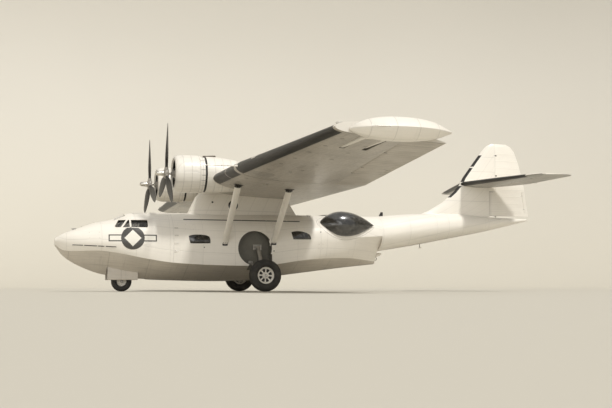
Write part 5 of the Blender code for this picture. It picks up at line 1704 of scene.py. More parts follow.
def leg_ring(station, out, height, wide, high):
    """A rounded section across a float leg, which runs outboard."""
    return [at(station + wide * math.copysign(abs(math.cos(a)) ** 0.5, math.cos(a)), out,
               height + high * math.copysign(abs(math.sin(a)) ** 0.5, math.sin(a)))
            for a in (2 * math.pi * (k + 0.5) / 24 for k in range(24))]


def make_float_hull(name, side, body):
    stations = [6.42, 6.45, 6.50, 6.55, 6.62, 6.70]
    stations += steps_between(6.80, 8.70, 24)[:-1] + steps_between(8.70, 9.18, 8)
    rings = [float_ring(station, side) for station in stations]
    count = len(rings[0])
    bm = bmesh.new()
    add_skin(bm, rings, lambda row, point: 1 if point == count - 1 else 0,
             lambda row, point: point * 0.075, stations)
    piece("float_skin_" + name, bm, ["fin", "side"], body, ["float_" + name], angle=32)

    # Two seams and the keel strip
    bm = bmesh.new()
    for station in (7.10, 7.95):
        ring = float_ring(station, side)
        middle = sum(ring, Vector()) / len(ring)
        outer = [p + (p - middle).normalized() * 0.0015 for p in ring]
        back = [[p + Y * 0.035 for p in edge] for edge in (outer, ring)]
        add_skin(bm, [ring, outer, *back], 0, caps=(False, False))
    keel = at(7.25, side * (FLOAT_DECK + table_row(FLOAT, 7.25)[1] * 0.985), FLOAT_MIDDLE_HEIGHT)
    add_tube(bm, [keel - Y * 0.5, keel, keel + Y * 0.45], [0.006, 0.011, 0.006], 8, 1)
    piece("float_seams_" + name, bm, ["cream", "steel"], body, angle=40)


def make_float_frame(name, side, body):
    """Two faired legs with their eyes and pins, the cross tube and the brace."""
    level = FLOAT_AXIS_HEIGHT
    # Columns: distance out, half-width, half-height
    leg = ((FLOAT_HINGE + 0.03, 0.046, 0.052), (FLOAT_HINGE + 0.10, 0.054, 0.059), (14.2, 0.054, 0.059),
           (14.95, 0.053, 0.058), (FLOAT_DECK, 0.0548, 0.0595))
    bm = bmesh.new()
    for station in FLOAT_LEGS:
        add_skin(bm, [leg_ring(station, side * out, level, wide, high) for out, wide, high in leg], 0)
        spot = at(station, side * FLOAT_HINGE, level)
        add_tube(bm, [spot + Y * along for along in (-0.052, -0.044, 0.044, 0.052)],
                 [0.050, 0.058, 0.058, 0.050], 32, 1)
        add_tube(bm, [spot - Y * 0.125, spot + Y * 0.125], 0.0198, 24, 2)
        for way in (-1, 1):
            add_tube(bm, [spot + Y * (way * 0.118), spot + Y * (way * 0.128)], 0.0185, 6, 1)
        plate = at(station, side * (FLOAT_DECK - 0.004), level)
        for dy, dz in itertools.product((-0.036, 0.036), (-0.040, 0.040)):
            bolt = plate + Vector((0, dy, dz))
            add_tube(bm, [bolt, bolt - X * (side * 0.012)], 0.007, 6, 1)
    first, second = (at(station, side * 14.75, level) for station in FLOAT_LEGS)
    add_tube(bm, [first, second], 0.036, 24, 0)
    for start, station in ((first, FLOAT_LEGS[1]), (second, FLOAT_LEGS[0])):
        stop = at(station, side * 14.05, level)
        add_tube(bm, [start.lerp(stop, share) for share in (0.0, 0.05, 0.95, 1.0)],
                 [0.008, 0.011, 0.011, 0.008], 10, 2)
    piece("float_legs_" + name, bm, ["cream", "steel", "chrome"], body,
          ["float_frame_" + name], angle=40)


def make_floats():
    for name, side in SIDES:
        body = "float_%s_body" % name
        make_float_hull(name, side, body)
        make_float_frame(name, side, body)


# Landing gear

# Columns: part of the wall's depth, part of the half-width
TYRE_WALL = ((0.0, 0.62), (0.22, 0.93), (0.58, 1.0), (0.88, 0.76), (1.0, 0.36))
TYRE_SHAPE = ((0, 0.0, 0.62), (1, 0.22, 0.93), (2, 0.58, 1.0), (3, 0.88, 0.76), (4, 0.995, 0.36),
              (5, 1.0, 0.0))
# Columns: radius, distance from the wheel's middle
MAIN_RIM = [
    (0.3095, 0.1), (0.3095, 0.121), (0.306, 0.124), (0.300, 0.123), (0.293, 0.112), (0.287, 0.095),
    (0.276, 0.078), (0.262, 0.066), (0.245, 0.060), (0.130, 0.048), (0.118, 0.050), (0.108, 0.062),
    (0.101, 0.090), (0.097, 0.108), (0.090, 0.1114), (0.060, 0.1116), (0.0458, 0.1116),
]
NOSE_RIM = [
    (0.1795, 0.05), (0.1795, 0.064), (0.176, 0.068), (0.171, 0.067), (0.165, 0.056), (0.155, 0.045),
    (0.130, 0.035), (0.095, 0.026), (0.085, 0.028), (0.080, 0.045), (0.076, 0.060), (0.070, 0.0612),
    (0.0285, 0.0612),
]
# The outline of a pocket between two spokes: radius, turn from the pocket's middle
POCKET = (
    (0.126, -0.20), (0.133, -0.24), (0.222, -0.28), (0.240, -0.25), (0.246, -0.18), (0.248, 0.0),
    (0.246, 0.18), (0.240, 0.25), (0.222, 0.28), (0.133, 0.24), (0.126, 0.20), (0.123, 0.0),
)
POCKET_COUNT, POCKET_TURN = 8, 0.43


def make_tyre(name, centre, radius, rim, width, body, node, grooves):
    half, depth = width / 2, radius - rim
    outer = []
    for k in range(41):
        deep, wide = table_row(TYRE_SHAPE, k / 8)
        outer.append((rim + depth * min(deep, 1.0), half * min(wide, 1.0)))
    outer = [p for p in outer if p[1] > max(grooves) + 0.008] + [(rim + depth * 0.994, max(grooves) + 0.007)]
    for place in sorted(grooves, reverse=True):
        top = radius - 0.001 - 0.10 * place ** 2
        outer += [(top, place + 0.0045), (top - 0.008, place + 0.0030), (top - 0.008, place - 0.0030),
                  (top, place - 0.0045)]
    outer.append((radius, 0.0))
    bm = bmesh.new()
    add_turned(bm, outer + [(r, -along) for r, along in outer[-2::-1]], centre, X, 96, closed=True)
    # Raised rings on the side walls
    for share in (0.16, 0.46, 0.72):
        wall = min(half * table_row(TYRE_WALL, share)[0], half - 0.002) - 0.0015
        for way in (1, -1):
            ring = [(rim + depth * share + 0.004 * math.cos(a), way * wall + 0.003 * math.sin(a))
                    for a in circle(6)]
            add_turned(bm, ring, centre, X, 96, closed=True)
    piece(name, bm, ["tyre"], body, [node], angle=38)


def bolt_circle(bm, centre, out, radius, count, turn, length, size):
    """Bolt heads round a wheel's middle, standing out of its side."""
    for index in range(count):
        bolt = centre + wheel_way(2 * math.pi * (index + turn) / count) * radius
        add_tube(bm, [bolt, bolt + out * length], size, 6, 1)


def outboard_box(bm, base, side, depth, shift, half, tall):
    """A block that stands outboard of a point, with its middle shifted aft of it."""
    inner, outer = sorted((0, side * depth))
    add_box(bm, base + Vector((inner, shift - half, -tall)), base + Vector((outer, shift + half, tall)), 2)


def make_main_wheel(name, side, axle):
    body = "main_%s_wheel_body" % name
    out = X * side
    make_tyre("main_tyre_" + name, axle, MAIN_AXLE[2], 0.31, 0.40, body, "main_%s_tyre" % name,
              (0.0605, 0.0225))
    bm = bmesh.new()
    add_turned(bm, wheel_rim(MAIN_RIM), axle, X, 88, closed=True)
    cutters = []
    for index in range(POCKET_COUNT):
        angle = 2 * math.pi * (index + POCKET_TURN) / POCKET_COUNT
        for way in (1, -1):
            cutters.append(solid("pocket", [[axle + X * (way * depth) + wheel_way(angle + turn) * reach
                                             for reach, turn in POCKET] for depth in (0.012, 0.2)]))
    piece("main_disc_" + name, bm, ["cream"], body, ["main_%s_wheel" % name], angle=35,
          cutters=cutters)
    bm = bmesh.new()
    bolt_circle(bm, axle + out * 0.055, out, 0.250, POCKET_COUNT, POCKET_TURN + 0.5, 0.017, 0.010)
    bolt_circle(bm, axle + out * 0.108, out, 0.074, 10, 0.0, 0.012, 0.006)
    valve = wheel_way(0.9)
    add_tube(bm, [axle + valve * 0.272 + out * 0.070, axle + valve * 0.252 + out * 0.105], 0.005, 8, 1)
    piece("main_disc_fittings_" + name, bm, ["cream", "steel"], body, angle=35)


def shock_strut(bm, knuckle, upper):
    """A bright rod, the case with its collars, and the head block with its pin."""
    add_tube(bm, [knuckle, knuckle.lerp(upper, 0.45)], 0.043, 32, 1)
    add_tube(bm, [knuckle.lerp(upper, share)
                  for share in (0.37, 0.38, 0.42, 0.425, 0.80, 0.805, 0.85, 0.86, 0.985)],
             [0.060, 0.080, 0.080, 0.070, 0.070, 0.078, 0.078, 0.070, 0.066], 36, 0)
    add_tube(bm, [upper - Y * 0.085, upper + Y * 0.085], 0.070, 28, 0)
    add_tube(bm, [upper - Y * 0.115, upper + Y * 0.105], 0.026, 16, 2)


def torque_links(bm, knuckle, upper, side):
    low, high = knuckle.lerp(upper, 0.10), knuckle.lerp(upper, 0.46)
    elbow = low.lerp(high, 0.5) + Y * 0.20 - X * (side * 0.05)
    pin = (high - low).cross(Y).normalized()
    for start, across in itertools.product((low, high), (-0.03, 0.03)):
        shift = pin * across
        add_tube(bm, [start + Y * 0.05 + shift, elbow + shift * 0.5], [0.016, 0.011], 10, 2)
    add_tube(bm, [elbow - pin * 0.045, elbow + pin * 0.045], 0.013, 12, 1)


def leg_mounts(bm, knuckle, station, side):
    """The strut's lug plates on the well's back wall, and the two braces with their forked ends."""
    base = at(station - 0.05, side * (WELL_BACK + 0.001), -0.18)
    for dy in (-0.10, 0.10):
        outboard_box(bm, base, side, 0.145, dy, 0.012, 0.075)
    outboard_box(bm, base, side, 0.02, 0, 0.16, 0.10)
    for brace_station in (station - 0.32, station + 0.28):
        foot = at(brace_station, side * 1.20, -0.78)
        add_tube(bm, [knuckle.lerp(foot, share) for share in (0.0, 0.10, 0.14, 0.86, 0.90, 1.0)],
                 [0.030, 0.034, 0.041, 0.041, 0.034, 0.030], 24, 0)
        add_tube(bm, [foot - Y * 0.065, foot + Y * 0.065], 0.034, 20, 2)
        base = at(brace_station, side * (WELL_BACK + 0.0512), -0.78)
        outboard_box(bm, base, side, 0.03, 0, 0.08, 0.08)
        for dy in (-0.045, 0.045):
            outboard_box(bm, base, side, 0.10, dy, 0.010, 0.045)


def make_main_leg(name, side):
    """Axle, shock strut, torque links, braces, brake drum and its hydraulic line."""
    station, port, ground = MAIN_AXLE
    height = ground - NOSE_HEIGHT

    def on_axle(*outs):
        return [at(station, side * out, height) for out in outs]

    knuckle = at(station, side * 1.90, height)
    upper = at(station - 0.05, side * 1.22, -0.18)
    bm = bmesh.new()
    add_tube(bm, on_axle(1.84, 1.86, 1.93, 1.94, 1.955), [0.085, 0.100, 0.100, 0.085, 0.060], 32, 0)
    add_tube(bm, on_axle(1.90, port + 0.125), 0.045, 32, 0)
    add_tube(bm, on_axle(port + 0.122, port + 0.152), 0.042, 6, 0)
    add_tube(bm, on_axle(port + 0.150, port + 0.165, port + 0.170), [0.026, 0.026, 0.018], 20, 1)
    shock_strut(bm, knuckle, upper)
    torque_links(bm, knuckle, upper, side)
    leg_mounts(bm, knuckle, station, side)
    add_turned(bm, [(0.05, 0.0), (0.215, 0.0), (0.222, 0.006), (0.222, 0.020), (0.05, 0.026)],
               *on_axle(1.985), X * side, 48, 2, closed=True)
    line = [knuckle.lerp(upper, share) + Vector((side * out, forward, rise)) for share, out, forward, rise in
            ((0.84, 0, -0.085, 0), (0.60, 0, -0.10, 0), (0.30, 0.02, -0.115, -0.01),
             (0.0, 0.03, -0.12, 0.02), (0.0, 0.088, -0.10, 0.01))]
    for ends in zip(line, line[1:]):
        add_tube(bm, ends, 0.008, 8, 3)
    piece("main_gear_leg_" + name, bm, ["grey", "chrome", "steel", "black"], "airframe",
          ["main_leg_" + name], angle=38)


def make_main_gear():
    station, port, ground = MAIN_AXLE
    for name, side in SIDES:
        make_main_wheel(name, side, at(station, side * port, ground - NOSE_HEIGHT))
        make_main_leg(name, side)


NOSE_AXLE_LEVEL = NOSE_AXLE[1] - NOSE_HEIGHT
# The fork's crown: its lower and upper side, and its arms' inner and outer side
CROWN_LOW, CROWN_HIGH = NOSE_AXLE_LEVEL + 0.41, NOSE_AXLE_LEVEL + 0.50
FORK_INNER, FORK_OUTER = 0.135, 0.165


def make_nose_wheel():
    axle = at(NOSE_AXLE[0], 0, NOSE_AXLE_LEVEL)
    body = "nose_wheel_body"
    make_tyre("nose_tyre_piece", axle, NOSE_AXLE[1], 0.18, 0.22, body, "nose_tyre", (0.034, 0.0125))
    bm = bmesh.new()
    add_turned(bm, wheel_rim(NOSE_RIM), axle, X, 64, closed=True)
    for way in (1, -1):
        bolt_circle(bm, axle + X * (way * 0.028), X * way, 0.108, 8, 0.0, 0.010, 0.007)
    piece("nose_disc", bm, ["cream", "steel"], body, ["nose_wheel"], angle=35)


def make_fork():
    """A crown with two flat arms that narrow to the axle."""
    station, height = NOSE_AXLE[0], NOSE_AXLE_LEVEL
    body = "nose_fork_body"
    front, rear, edge = NOSE_SWIVEL - 0.078, station + 0.049, 0.012
    crown = []
    for across in steps_between(-FORK_OUTER, FORK_OUTER, 12):
        top = CROWN_HIGH - 0.02 * (across / FORK_OUTER) ** 2
        crown.append([at(place, across, level) for place, level in (
            (front, CROWN_LOW + edge), (front + edge, CROWN_LOW), (rear - 0.011, CROWN_LOW),
            (rear, CROWN_LOW + edge), (rear, top - edge), (rear - 0.011, top), (front + edge, top),
            (front, top - edge))])
    bm = bmesh.new()
    add_skin(bm, crown, 0)
    bore = rod_solid("swivel_bore", at(NOSE_SWIVEL, 0, CROWN_LOW - 0.05),
                     at(NOSE_SWIVEL, 0, CROWN_HIGH + 0.05), 0.0358, "steel", 32)
    piece("fork_crown", bm, ["grey"], body, ["nose_fork"], angle=35, cutters=[bore])
    bm = bmesh.new()
    for _, side in SIDES:
        add_skin(bm, [[at(station + wide * share, side * out, level) for share, out in
                       ((-1, FORK_INNER), (1, FORK_INNER), (0.8, FORK_OUTER), (-0.8, FORK_OUTER))]
                      for level, wide in ((CROWN_HIGH - 0.03, 0.050), (CROWN_LOW, 0.049),
                                          (height + 0.25, 0.042), (height + 0.08, 0.045),
                                          (height + 0.02, 0.050), (height - 0.03, 0.044),
                                          (height - 0.049, 0.025))], 0)
        end = at(station, side * (FORK_OUTER + 0.02), height)
        add_tube(bm, [end - X * (side * 0.02), end], 0.026, 6, 1)
    add_tube(bm, [at(station, out, height) for out in (-FORK_OUTER - 0.01, FORK_OUTER + 0.01)], 0.0279, 28,
             1)
    collar = [(0.037, 0.0), (0.062, 0.0), (0.066, 0.004), (0.066, 0.010), (0.037, 0.012)]
    add_turned(bm, collar, at(NOSE_SWIVEL, 0, CROWN_HIGH - 0.002), Z, 32, 1, closed=True)
    piece("fork_arms", bm, ["grey", "steel"], body, angle=35)


def make_nose_leg():
    """The leg under the well's ceiling, with its plate, its drag brace and two centring rods."""
    ceiling = NOSE_WELL[3]

    def place(aft, port, level):
        return at(NOSE_SWIVEL + aft, port, level)

    bm = bmesh.new()
    levels = [ceiling - fall for fall in (0.03, 0.06, 0.10)]
    levels += [CROWN_HIGH + rise for rise in (0.10, 0.09, 0.025, 0.022)]
    add_tube(bm, [place(0, 0, level) for level in levels], [0.095, 0.092, 0.068, 0.068, 0.076, 0.076, 0.060],
             36, 0)
    add_tube(bm, [place(0, 0, CROWN_HIGH + 0.1), place(0, 0, CROWN_LOW + 0.001)], 0.0349, 32, 1)
    add_box(bm, place(-0.148, -0.148, ceiling - 0.034), place(0.148, 0.148, ceiling - 0.0005), 2)
    for port, aft in itertools.product((-0.12, 0.12), (-0.12, 0.12)):
        bolt = place(aft, port, ceiling - 0.032)
        add_tube(bm, [bolt, bolt - Z * 0.014], 0.011, 6, 2)
    low, high = place(0, 0, CROWN_HIGH + 0.12), place(0.44, 0, ceiling - 0.05)
    add_tube(bm, [low.lerp(high, share) for share in (0.0, 0.12, 0.16, 0.55, 0.56, 0.92, 0.95, 1.0)],
             [0.024, 0.026, 0.033, 0.033, 0.026, 0.026, 0.022, 0.022], 20, 0)
    for _, side in SIDES:
        add_box(bm, place(0.37, side * 0.045 - 0.012, ceiling - 0.095),
                place(0.51, side * 0.045 + 0.012, ceiling - 0.001), 2)
    add_tube(bm, [place(0.44, port, ceiling - 0.05) for port in (-0.066, 0.066)], 0.014, 14, 1)
    add_box(bm, place(0.36, -0.079, ceiling - 0.014), place(0.519, 0.079, ceiling - 0.0005), 2)
    for _, side in SIDES:
        add_tube(bm, [place(-0.06, side * 0.06, ceiling - 0.03),
                      place(-0.08, side * 0.075, CROWN_HIGH + 0.06)],
                 0.012, 10, 1)
    piece("nose_leg_piece", bm, ["grey", "chrome", "steel"], "airframe", ["nose_leg"],
          angle=38)


def make_nose_doors():
    front, rear, half, _ = NOSE_WELL
    near, far = half + 0.0125, half + 0.0315
    for name, side in SIDES:
        rings = []
        for k, station in enumerate(steps_between(front + 0.0205, rear - 0.0205, 16)):
            outer = far + 0.006 * math.sin(math.pi * k / 16)
            rings.append([at(station, side * port, level) for port, level in (
                (near, -1.4195), (near + 0.004, -1.4195), (outer, -1.40), (outer, -0.9), (outer, -0.80),
                (near, -0.80))])
        bm = bmesh.new()
        add_skin(bm, rings, 0)
        piece("nose_door_skin_" + name, bm, ["bottom"], nodes=["nose_door_" + name],
              angle=35, cutters=[hull_solid("bow_cut", FOREBODY, 1.2, 3.8, 22)])
        # Stiffeners and hinges inside the door
        bm = bmesh.new()
        rib = side * (near - 0.004)
        for station in (2.10, 2.48, 2.86):
            add_tube(bm, [at(station, rib, -1.36), at(station, rib, -1.14)], 0.012, 8, 0)
            add_tube(bm, [at(station + way * 0.04, side * near, -1.125) for way in (-1, 1)], 0.015, 12, 1)
        add_tube(bm, [at(station, side * (near - 0.003), -1.38) for station in (2.02, 2.94)], 0.010, 8, 0)
        piece("nose_door_ribs_" + name, bm, ["primer", "steel"], angle=40)


make_glazing()
make_panel()
make_glare_shield()
make_controls()
make_seats()
make_blisters()
make_floats()
make_main_gear()
make_nose_wheel()
make_fork()
make_nose_leg()
make_nose_doors()

# Moving surfaces

# Columns: first place along the span, last place, reach ahead of the rear edge
AILERON_TAB = (9.30, 10.70, 0.17)
ELEVATOR_TAB = (0.95, 2.35, 0.15)
RUDDER_TAB = (1.42, 2.30, 0.16)
HINGE_HALF = 0.022
AILERON_HINGES = (10.20, 12.90)
# Half the thickness of a moving surface's rear edge
REAR_EDGE = 0.004


def plain_half(radius, t):
    """Half the thickness of a moving surface at a part of its chord, before its cloth sags."""
    return spread(radius, REAR_EDGE, t) + 0.05 * radius * math.sin(math.pi * t)


def flap_ring(hinge, rear, normal, radius, nose, sag):
    """A moving surface's section, from its upper side round the nose to the lower side and back."""
    back = (rear - hinge).normalized()
    length = (rear - hinge).length
    straight = Vector((0.0, back.y, back.z)).normalized()
    ring = [hinge + straight * (math.cos(a) * nose) + normal * (math.sin(a) * radius)
            for a in steps_between(math.pi / 2, math.pi * 1.5, 14)]
    halves = [(k / 10, max(plain_half(radius, k / 10) - sag * math.sin(math.pi * k / 10) ** 0.7, REAR_EDGE))
              for k in range(1, 11)]
    lower, upper = ([hinge + back * (t * length) + normal * (way * half) for t, half in halves]
                    for way in (-1, 1))
    return ring + lower + upper[::-1]


def flap_skin(bm, spans, hinge_at, rib, sag, tones):
    """Cloth over ribs: it dips a little between them."""
    rings, girths = [], []
    for span in spans:
        hinge, rear, normal, radius, nose = hinge_at(span)
        phase = math.sin(math.pi * ((span / rib) % 1.0)) ** 2
        rings.append(flap_ring(hinge, rear, normal, radius, nose, sag * phase))
        length = (rear - hinge).length
        reach = [-0.1 + 0.007 * k for k in range(15)] + [length * k / 10 for k in range(1, 11)]
        girths.append(reach + reach[:14:-1])
    count = len(rings[0])

    def tone(row, point):
        return tones[1] if 7 <= point < 25 else tones[0]

    add_skin(bm, rings, tone, lambda row, point: girths[row][point % count], list(spans))


def chord_frame(hinge_at, out):
    """The rear edge, the way aft, the normal, the radius at the hinge and the length of a moving surface."""
    hinge, rear, normal, radius, _ = hinge_at(out)
    return rear, (rear - hinge).normalized(), normal, radius, (rear - hinge).length


def tab_parts(name, first, last, reach, hinge_at, body, tones, materials):
    """The solid that clears a tab's place, with the tab's own piece and its horn and rod."""
    room, tab, rods = [], [], bmesh.new()
    for out in (first, last):
        rear, back, normal, _, _ = chord_frame(hinge_at, out)
        front, behind = rear - back * reach, rear + back * 0.1
        room.append([front + normal * 0.2, front - normal * 0.2, behind - normal * 0.2,
                     behind + normal * 0.2])
    spans = steps_between(first + 0.006, last - 0.006, 8)
    for out in spans:
        rear, back, normal, radius, length = chord_frame(hinge_at, out)
        half = plain_half(radius, 1 - (reach - 0.02) / length)
        start = rear - back * (reach - 0.02)
        ring = [start + back * (math.cos(a) * 0.014) + normal * (math.sin(a) * half)
                for a in steps_between(math.pi / 2, math.pi * 1.5, 6)]
        tab.append(ring + [rear - normal * REAR_EDGE, rear + normal * REAR_EDGE])
    bm = bmesh.new()
    add_skin(bm, tab, lambda row, point: tones[1] if 3 <= point < 7 else tones[0],
             lambda row, point: 0.02 * point, spans)
    piece("tab_" + name, bm, materials, body, angle=35)
    for share in (0.18, 0.82):
        rear, back, normal, radius, length = chord_frame(hinge_at, spread(first, last, share))
        half = spread(radius, REAR_EDGE, 1 - reach / length) + 0.004
        for way in (1, -1):
            place = rear - back * reach + normal * (way * half)
            add_tube(rods, [place - back * 0.03, place, place + back * 0.045], [0.004, 0.0075, 0.004], 8)
    rear, back, normal, radius, length = chord_frame(hinge_at, spread(first, last, 0.5))
    foot, far = rear - back * (reach - 0.04), rear - back * (reach + 0.22)
    horn = foot - normal * 0.055
    add_tube(rods, [foot - normal * 0.006, horn], [0.010, 0.006], 8)
    add_tube(rods, [horn, far - normal * (spread(radius, REAR_EDGE, 1 - (reach + 0.22) / length) - 0.004)],
             0.005, 8)
    piece("tab_rod_" + name, rods, ["steel"], body, angle=40)
    return solid("tab_room_" + name, room, materials[tones[0]])


def hinge_parts(name, places):
    """Brackets on the fixed surface, and the slots that they need in the moving one."""
    slots = []
    bm = bmesh.new()
    for index, (centre, along, forward, reach) in enumerate(places):
        across = along.cross(forward)
        slots.append(solid("hinge_slot_%s_%d" % (name, index), [
            [centre + along * end + forward * distance + across * height
             for distance, height in ((-0.042, -0.4), (0.6, -0.4), (0.6, 0.4), (-0.042, 0.4))]
            for end in (-HINGE_HALF, HINGE_HALF)]))
        for end in (-0.014, 0.007):
            plate = []
            for edge in (end, end + 0.007):
                middle = centre + along * edge
                plate.append([middle - forward * (math.cos(a) * 0.030) + across * (math.sin(a) * 0.030)
                              for a in steps_between(-math.pi / 2, math.pi / 2, 10)]
                             + [middle + forward * reach + across * rise for rise in (0.026, -0.026)])
            add_skin(bm, plate)
        for half, radius, sides, tone in ((0.0145, 0.0315, 24, 0), (0.068, 0.0135, 16, 1)):
            add_tube(bm, [centre - along * half, centre + along * half], radius, sides, tone)
    piece("hinge_plates_" + name, bm, ["grey", "steel"], angle=35)
    return slots


def flap_piece(name, node, spans, hinge_at, rib, tones, materials, body, cutters):
    bm = bmesh.new()
    flap_skin(bm, spans, hinge_at, rib, 0.004, tones)
    piece(name, bm, materials, body, nodes=[node], angle=38, cutters=cutters)


def make_ailerons():
    inner, outer = AILERON_START + RUNNING_GAP, AILERON_END - RUNNING_GAP
    spans = [inner] + [9.06 + 0.06 * k for k in range(88) if 9.06 + 0.06 * k < outer - 0.01] + [outer]
    for name, side in SIDES:
        body = "aileron_%s_body" % name

        def hinge_at(out, side=side):
            hinge, rear, radius = aileron_hinge(side * abs(out))
            back = (rear - hinge).normalized()
            return hinge, rear, back.cross(X) * -1.0, radius, radius

        tab = tab_parts("aileron_" + name, *AILERON_TAB, hinge_at, body, (0, 1),
                        ["top_cloth", "under_cloth"])
        start, end = aileron_hinge(side * AILERON_START)[0], aileron_hinge(side * AILERON_END)[0]
        along = (end - start).normalized()
        places = [(start.lerp(end, (out - AILERON_START) / (AILERON_END - AILERON_START)), along, -WING_BACK,
                   0.30)
                  for out in AILERON_HINGES]
        flap_piece("aileron_skin_" + name, "aileron_" + name, spans, hinge_at, 0.30, (0, 1),
                   ["top_cloth", "under_cloth", "dark"], body,
                   hinge_parts("aileron_" + name, places) + [tab])


def make_rudder():
    uppers = [row[0] for row in FIN if row[0] > RUDDER_BALANCE_TOP]

    def hinge_at(height):
        rear = straight_row(FIN, height)[1]
        nose = RUDDER_BALANCE if height <= RUDDER_BALANCE_TOP else fin_radius(height)
        return at(RUDDER_HINGE, 0, height), at(rear, 0, height), X, fin_radius(height), nose

    def foot_line(low, high):
        return [at(RUDDER_HINGE, 0, low), at(RUDDER_HINGE, 0, high)]

    spans = [RUDDER_BOTTOM] + [1.34 + 0.06 * k for k in range(16)]
    spans += [RUDDER_BALANCE_TOP, RUDDER_BALANCE_TOP + 0.001]
    spans += sorted(set([2.34 + 0.06 * k for k in range(28)] + uppers + [4.06, 4.13, 4.25]))
    spans = [h for h in spans if h <= uppers[-1]]
    tab = tab_parts("rudder", *RUDDER_TAB, hinge_at, "rudder_body", (0, 0), ["rudder_cloth"])
    slots = hinge_parts("rudder", [(at(RUDDER_HINGE, 0, height), Z, -Y, 0.26) for height in (2.95, 3.80)])
    foot = rod_solid("foot_bore", *foot_line(RUDDER_BOTTOM - 0.05, RUDDER_BOTTOM + 0.145), 0.0185)
    flap_piece("rudder_skin", "rudder", spans, hinge_at, 0.30, (0, 0), ["rudder_cloth"], "rudder_body",
               slots + [tab, foot])
    bm = bmesh.new()
    add_tube(bm, foot_line(1.20, RUDDER_BOTTOM + 0.13), 0.0175, 20)
    add_tube(bm, foot_line(1.245, 1.272), [0.034, 0.028], 20)
    piece("rudder_foot", bm, ["steel"], angle=40)


def make_elevators():
    spans = [ELEVATOR_ROOT] + [0.30 + 0.05 * k for k in range(87)]
    spans = sorted(set([round(s, 3) for s in spans if s < 4.64] + [4.10, 4.45, 4.65]))
    materials = ["top_cloth", "tail_cloth"]
    for name, side in SIDES:
        def hinge_at(out, side=side):
            out = abs(out)
            rear = straight_row(TAILPLANE, max(out, ELEVATOR_ROOT_CUT))[1]
            # The inner rear corner is cut away for the rudder: there the rear points gather near its end.
            shift = max(0.0, 0.97 * (ELEVATOR_ROOT_CUT - out))
            return (at(ELEVATOR_HINGE, side * out, TAIL_HEIGHT), at(rear, side * (out + shift), TAIL_HEIGHT),
                    Z, tail_radius(out), tail_radius(out))

        tab = tab_parts("elevator_" + name, *ELEVATOR_TAB, hinge_at, "elevator_body", (0, 1), materials)
        slots = hinge_parts("elevator_" + name,
                            [(at(ELEVATOR_HINGE, side * out, TAIL_HEIGHT), X, -Y, 0.24)
                             for out in (1.0, 3.5)])
        flap_piece("elevator_skin_" + name, "elevator_" + name, spans, hinge_at, 0.25, (0, 1), materials,
                   "elevator_body", slots + [tab])


# Windows and marks

# Outlines of the cabin windows as stations and heights
CABIN_WINDOWS = (
    ((4.76, 0.19), (4.79, 0.06), (4.82, -0.065), (5.18, -0.065), (5.55, -0.055), (5.545, 0.06), (5.51, 0.17),
     (5.40, 0.22), (5.20, 0.24), (4.98, 0.235), (4.85, 0.215)),
    ((8.71, 0.39), (8.74, 0.26), (8.77, 0.135), (9.10, 0.135), (9.47, 0.145), (9.455, 0.23), (9.41, 0.31),
     (9.30, 0.37), (9.12, 0.42), (8.95, 0.43), (8.81, 0.415)),
)
MARK_STATION, MARK_HEIGHT, MARK_RADIUS = 2.72, 0.10, 0.42


def cabin_window(bm, skin, outline):
    """A near-black bulged pane, painted shade for the dark cabin behind it, with a black seal and a raised
    frame.
    """
    middle = (sum(p[0] for p in outline) / len(outline), sum(p[1] for p in outline) / len(outline))
    layer = skin_map(bm)
    rings = []
    for share in (1.0, 0.9, 0.7, 0.45, 0.2):
        lift = 0.004 + 0.022 * (1 - share ** 2) ** 0.5
        rings.append([bm.verts.new(surface_point(*skin, spread(middle[0], a, share),
                                                 spread(middle[1], b, share), lift))
                      for a, b in outline])
    top = bm.verts.new(surface_point(*skin, *middle, 0.0255))
    pairs = [(k, (k + 1) % len(outline)) for k in range(len(outline))]
    faces = [(low[k], low[after], high[after], high[k])
             for low, high in zip(rings, rings[1:]) for k, after in pairs]
    flat_faces(bm, layer, faces + [(rings[-1][k], rings[-1][after], top) for k, after in pairs])
    loop = finer(outline, 3)
    band(bm, skin, loop, 0.012, 0.0065, 1)
    wider = [(middle[0] + (a - middle[0]) * 1.035, middle[1] + (b - middle[1]) * 1.09) for a, b in loop]
    band(bm, skin, wider, 0.030, 0.0045, 2)


# Station, height and radius
PYLON_WINDOW = (6.64, 1.44, 0.18)
PYLON_VENT = (5.84, 1.55, 0.035)


def pylon_side(side):
    def place(station, height):
        lead, trail, _, width = pylon_section(height)[:4]
        t = (station - LENGTH / 2 - lead.y) / (trail.y - lead.y)
        return at(station, side * foil(min(max(t, 0.0), 1.0), width), height)
    return place, Vector((side, 0, 0))


def make_windows(name, side):
    station, height, radius = PYLON_WINDOW
    round_window = [(station + radius * math.cos(a), height + radius * math.sin(a)) for a in circle(28)]
    bm = bmesh.new()
    for outline in CABIN_WINDOWS:
        cabin_window(bm, side_at(side), outline)
    cabin_window(bm, pylon_side(side), round_window)
    patch(bm, pylon_side(side), disc(*PYLON_VENT, 12), 0.006, tone=1)
    piece("cabin_windows_" + name, bm, ["pane", "black", "cream"], angle=35)


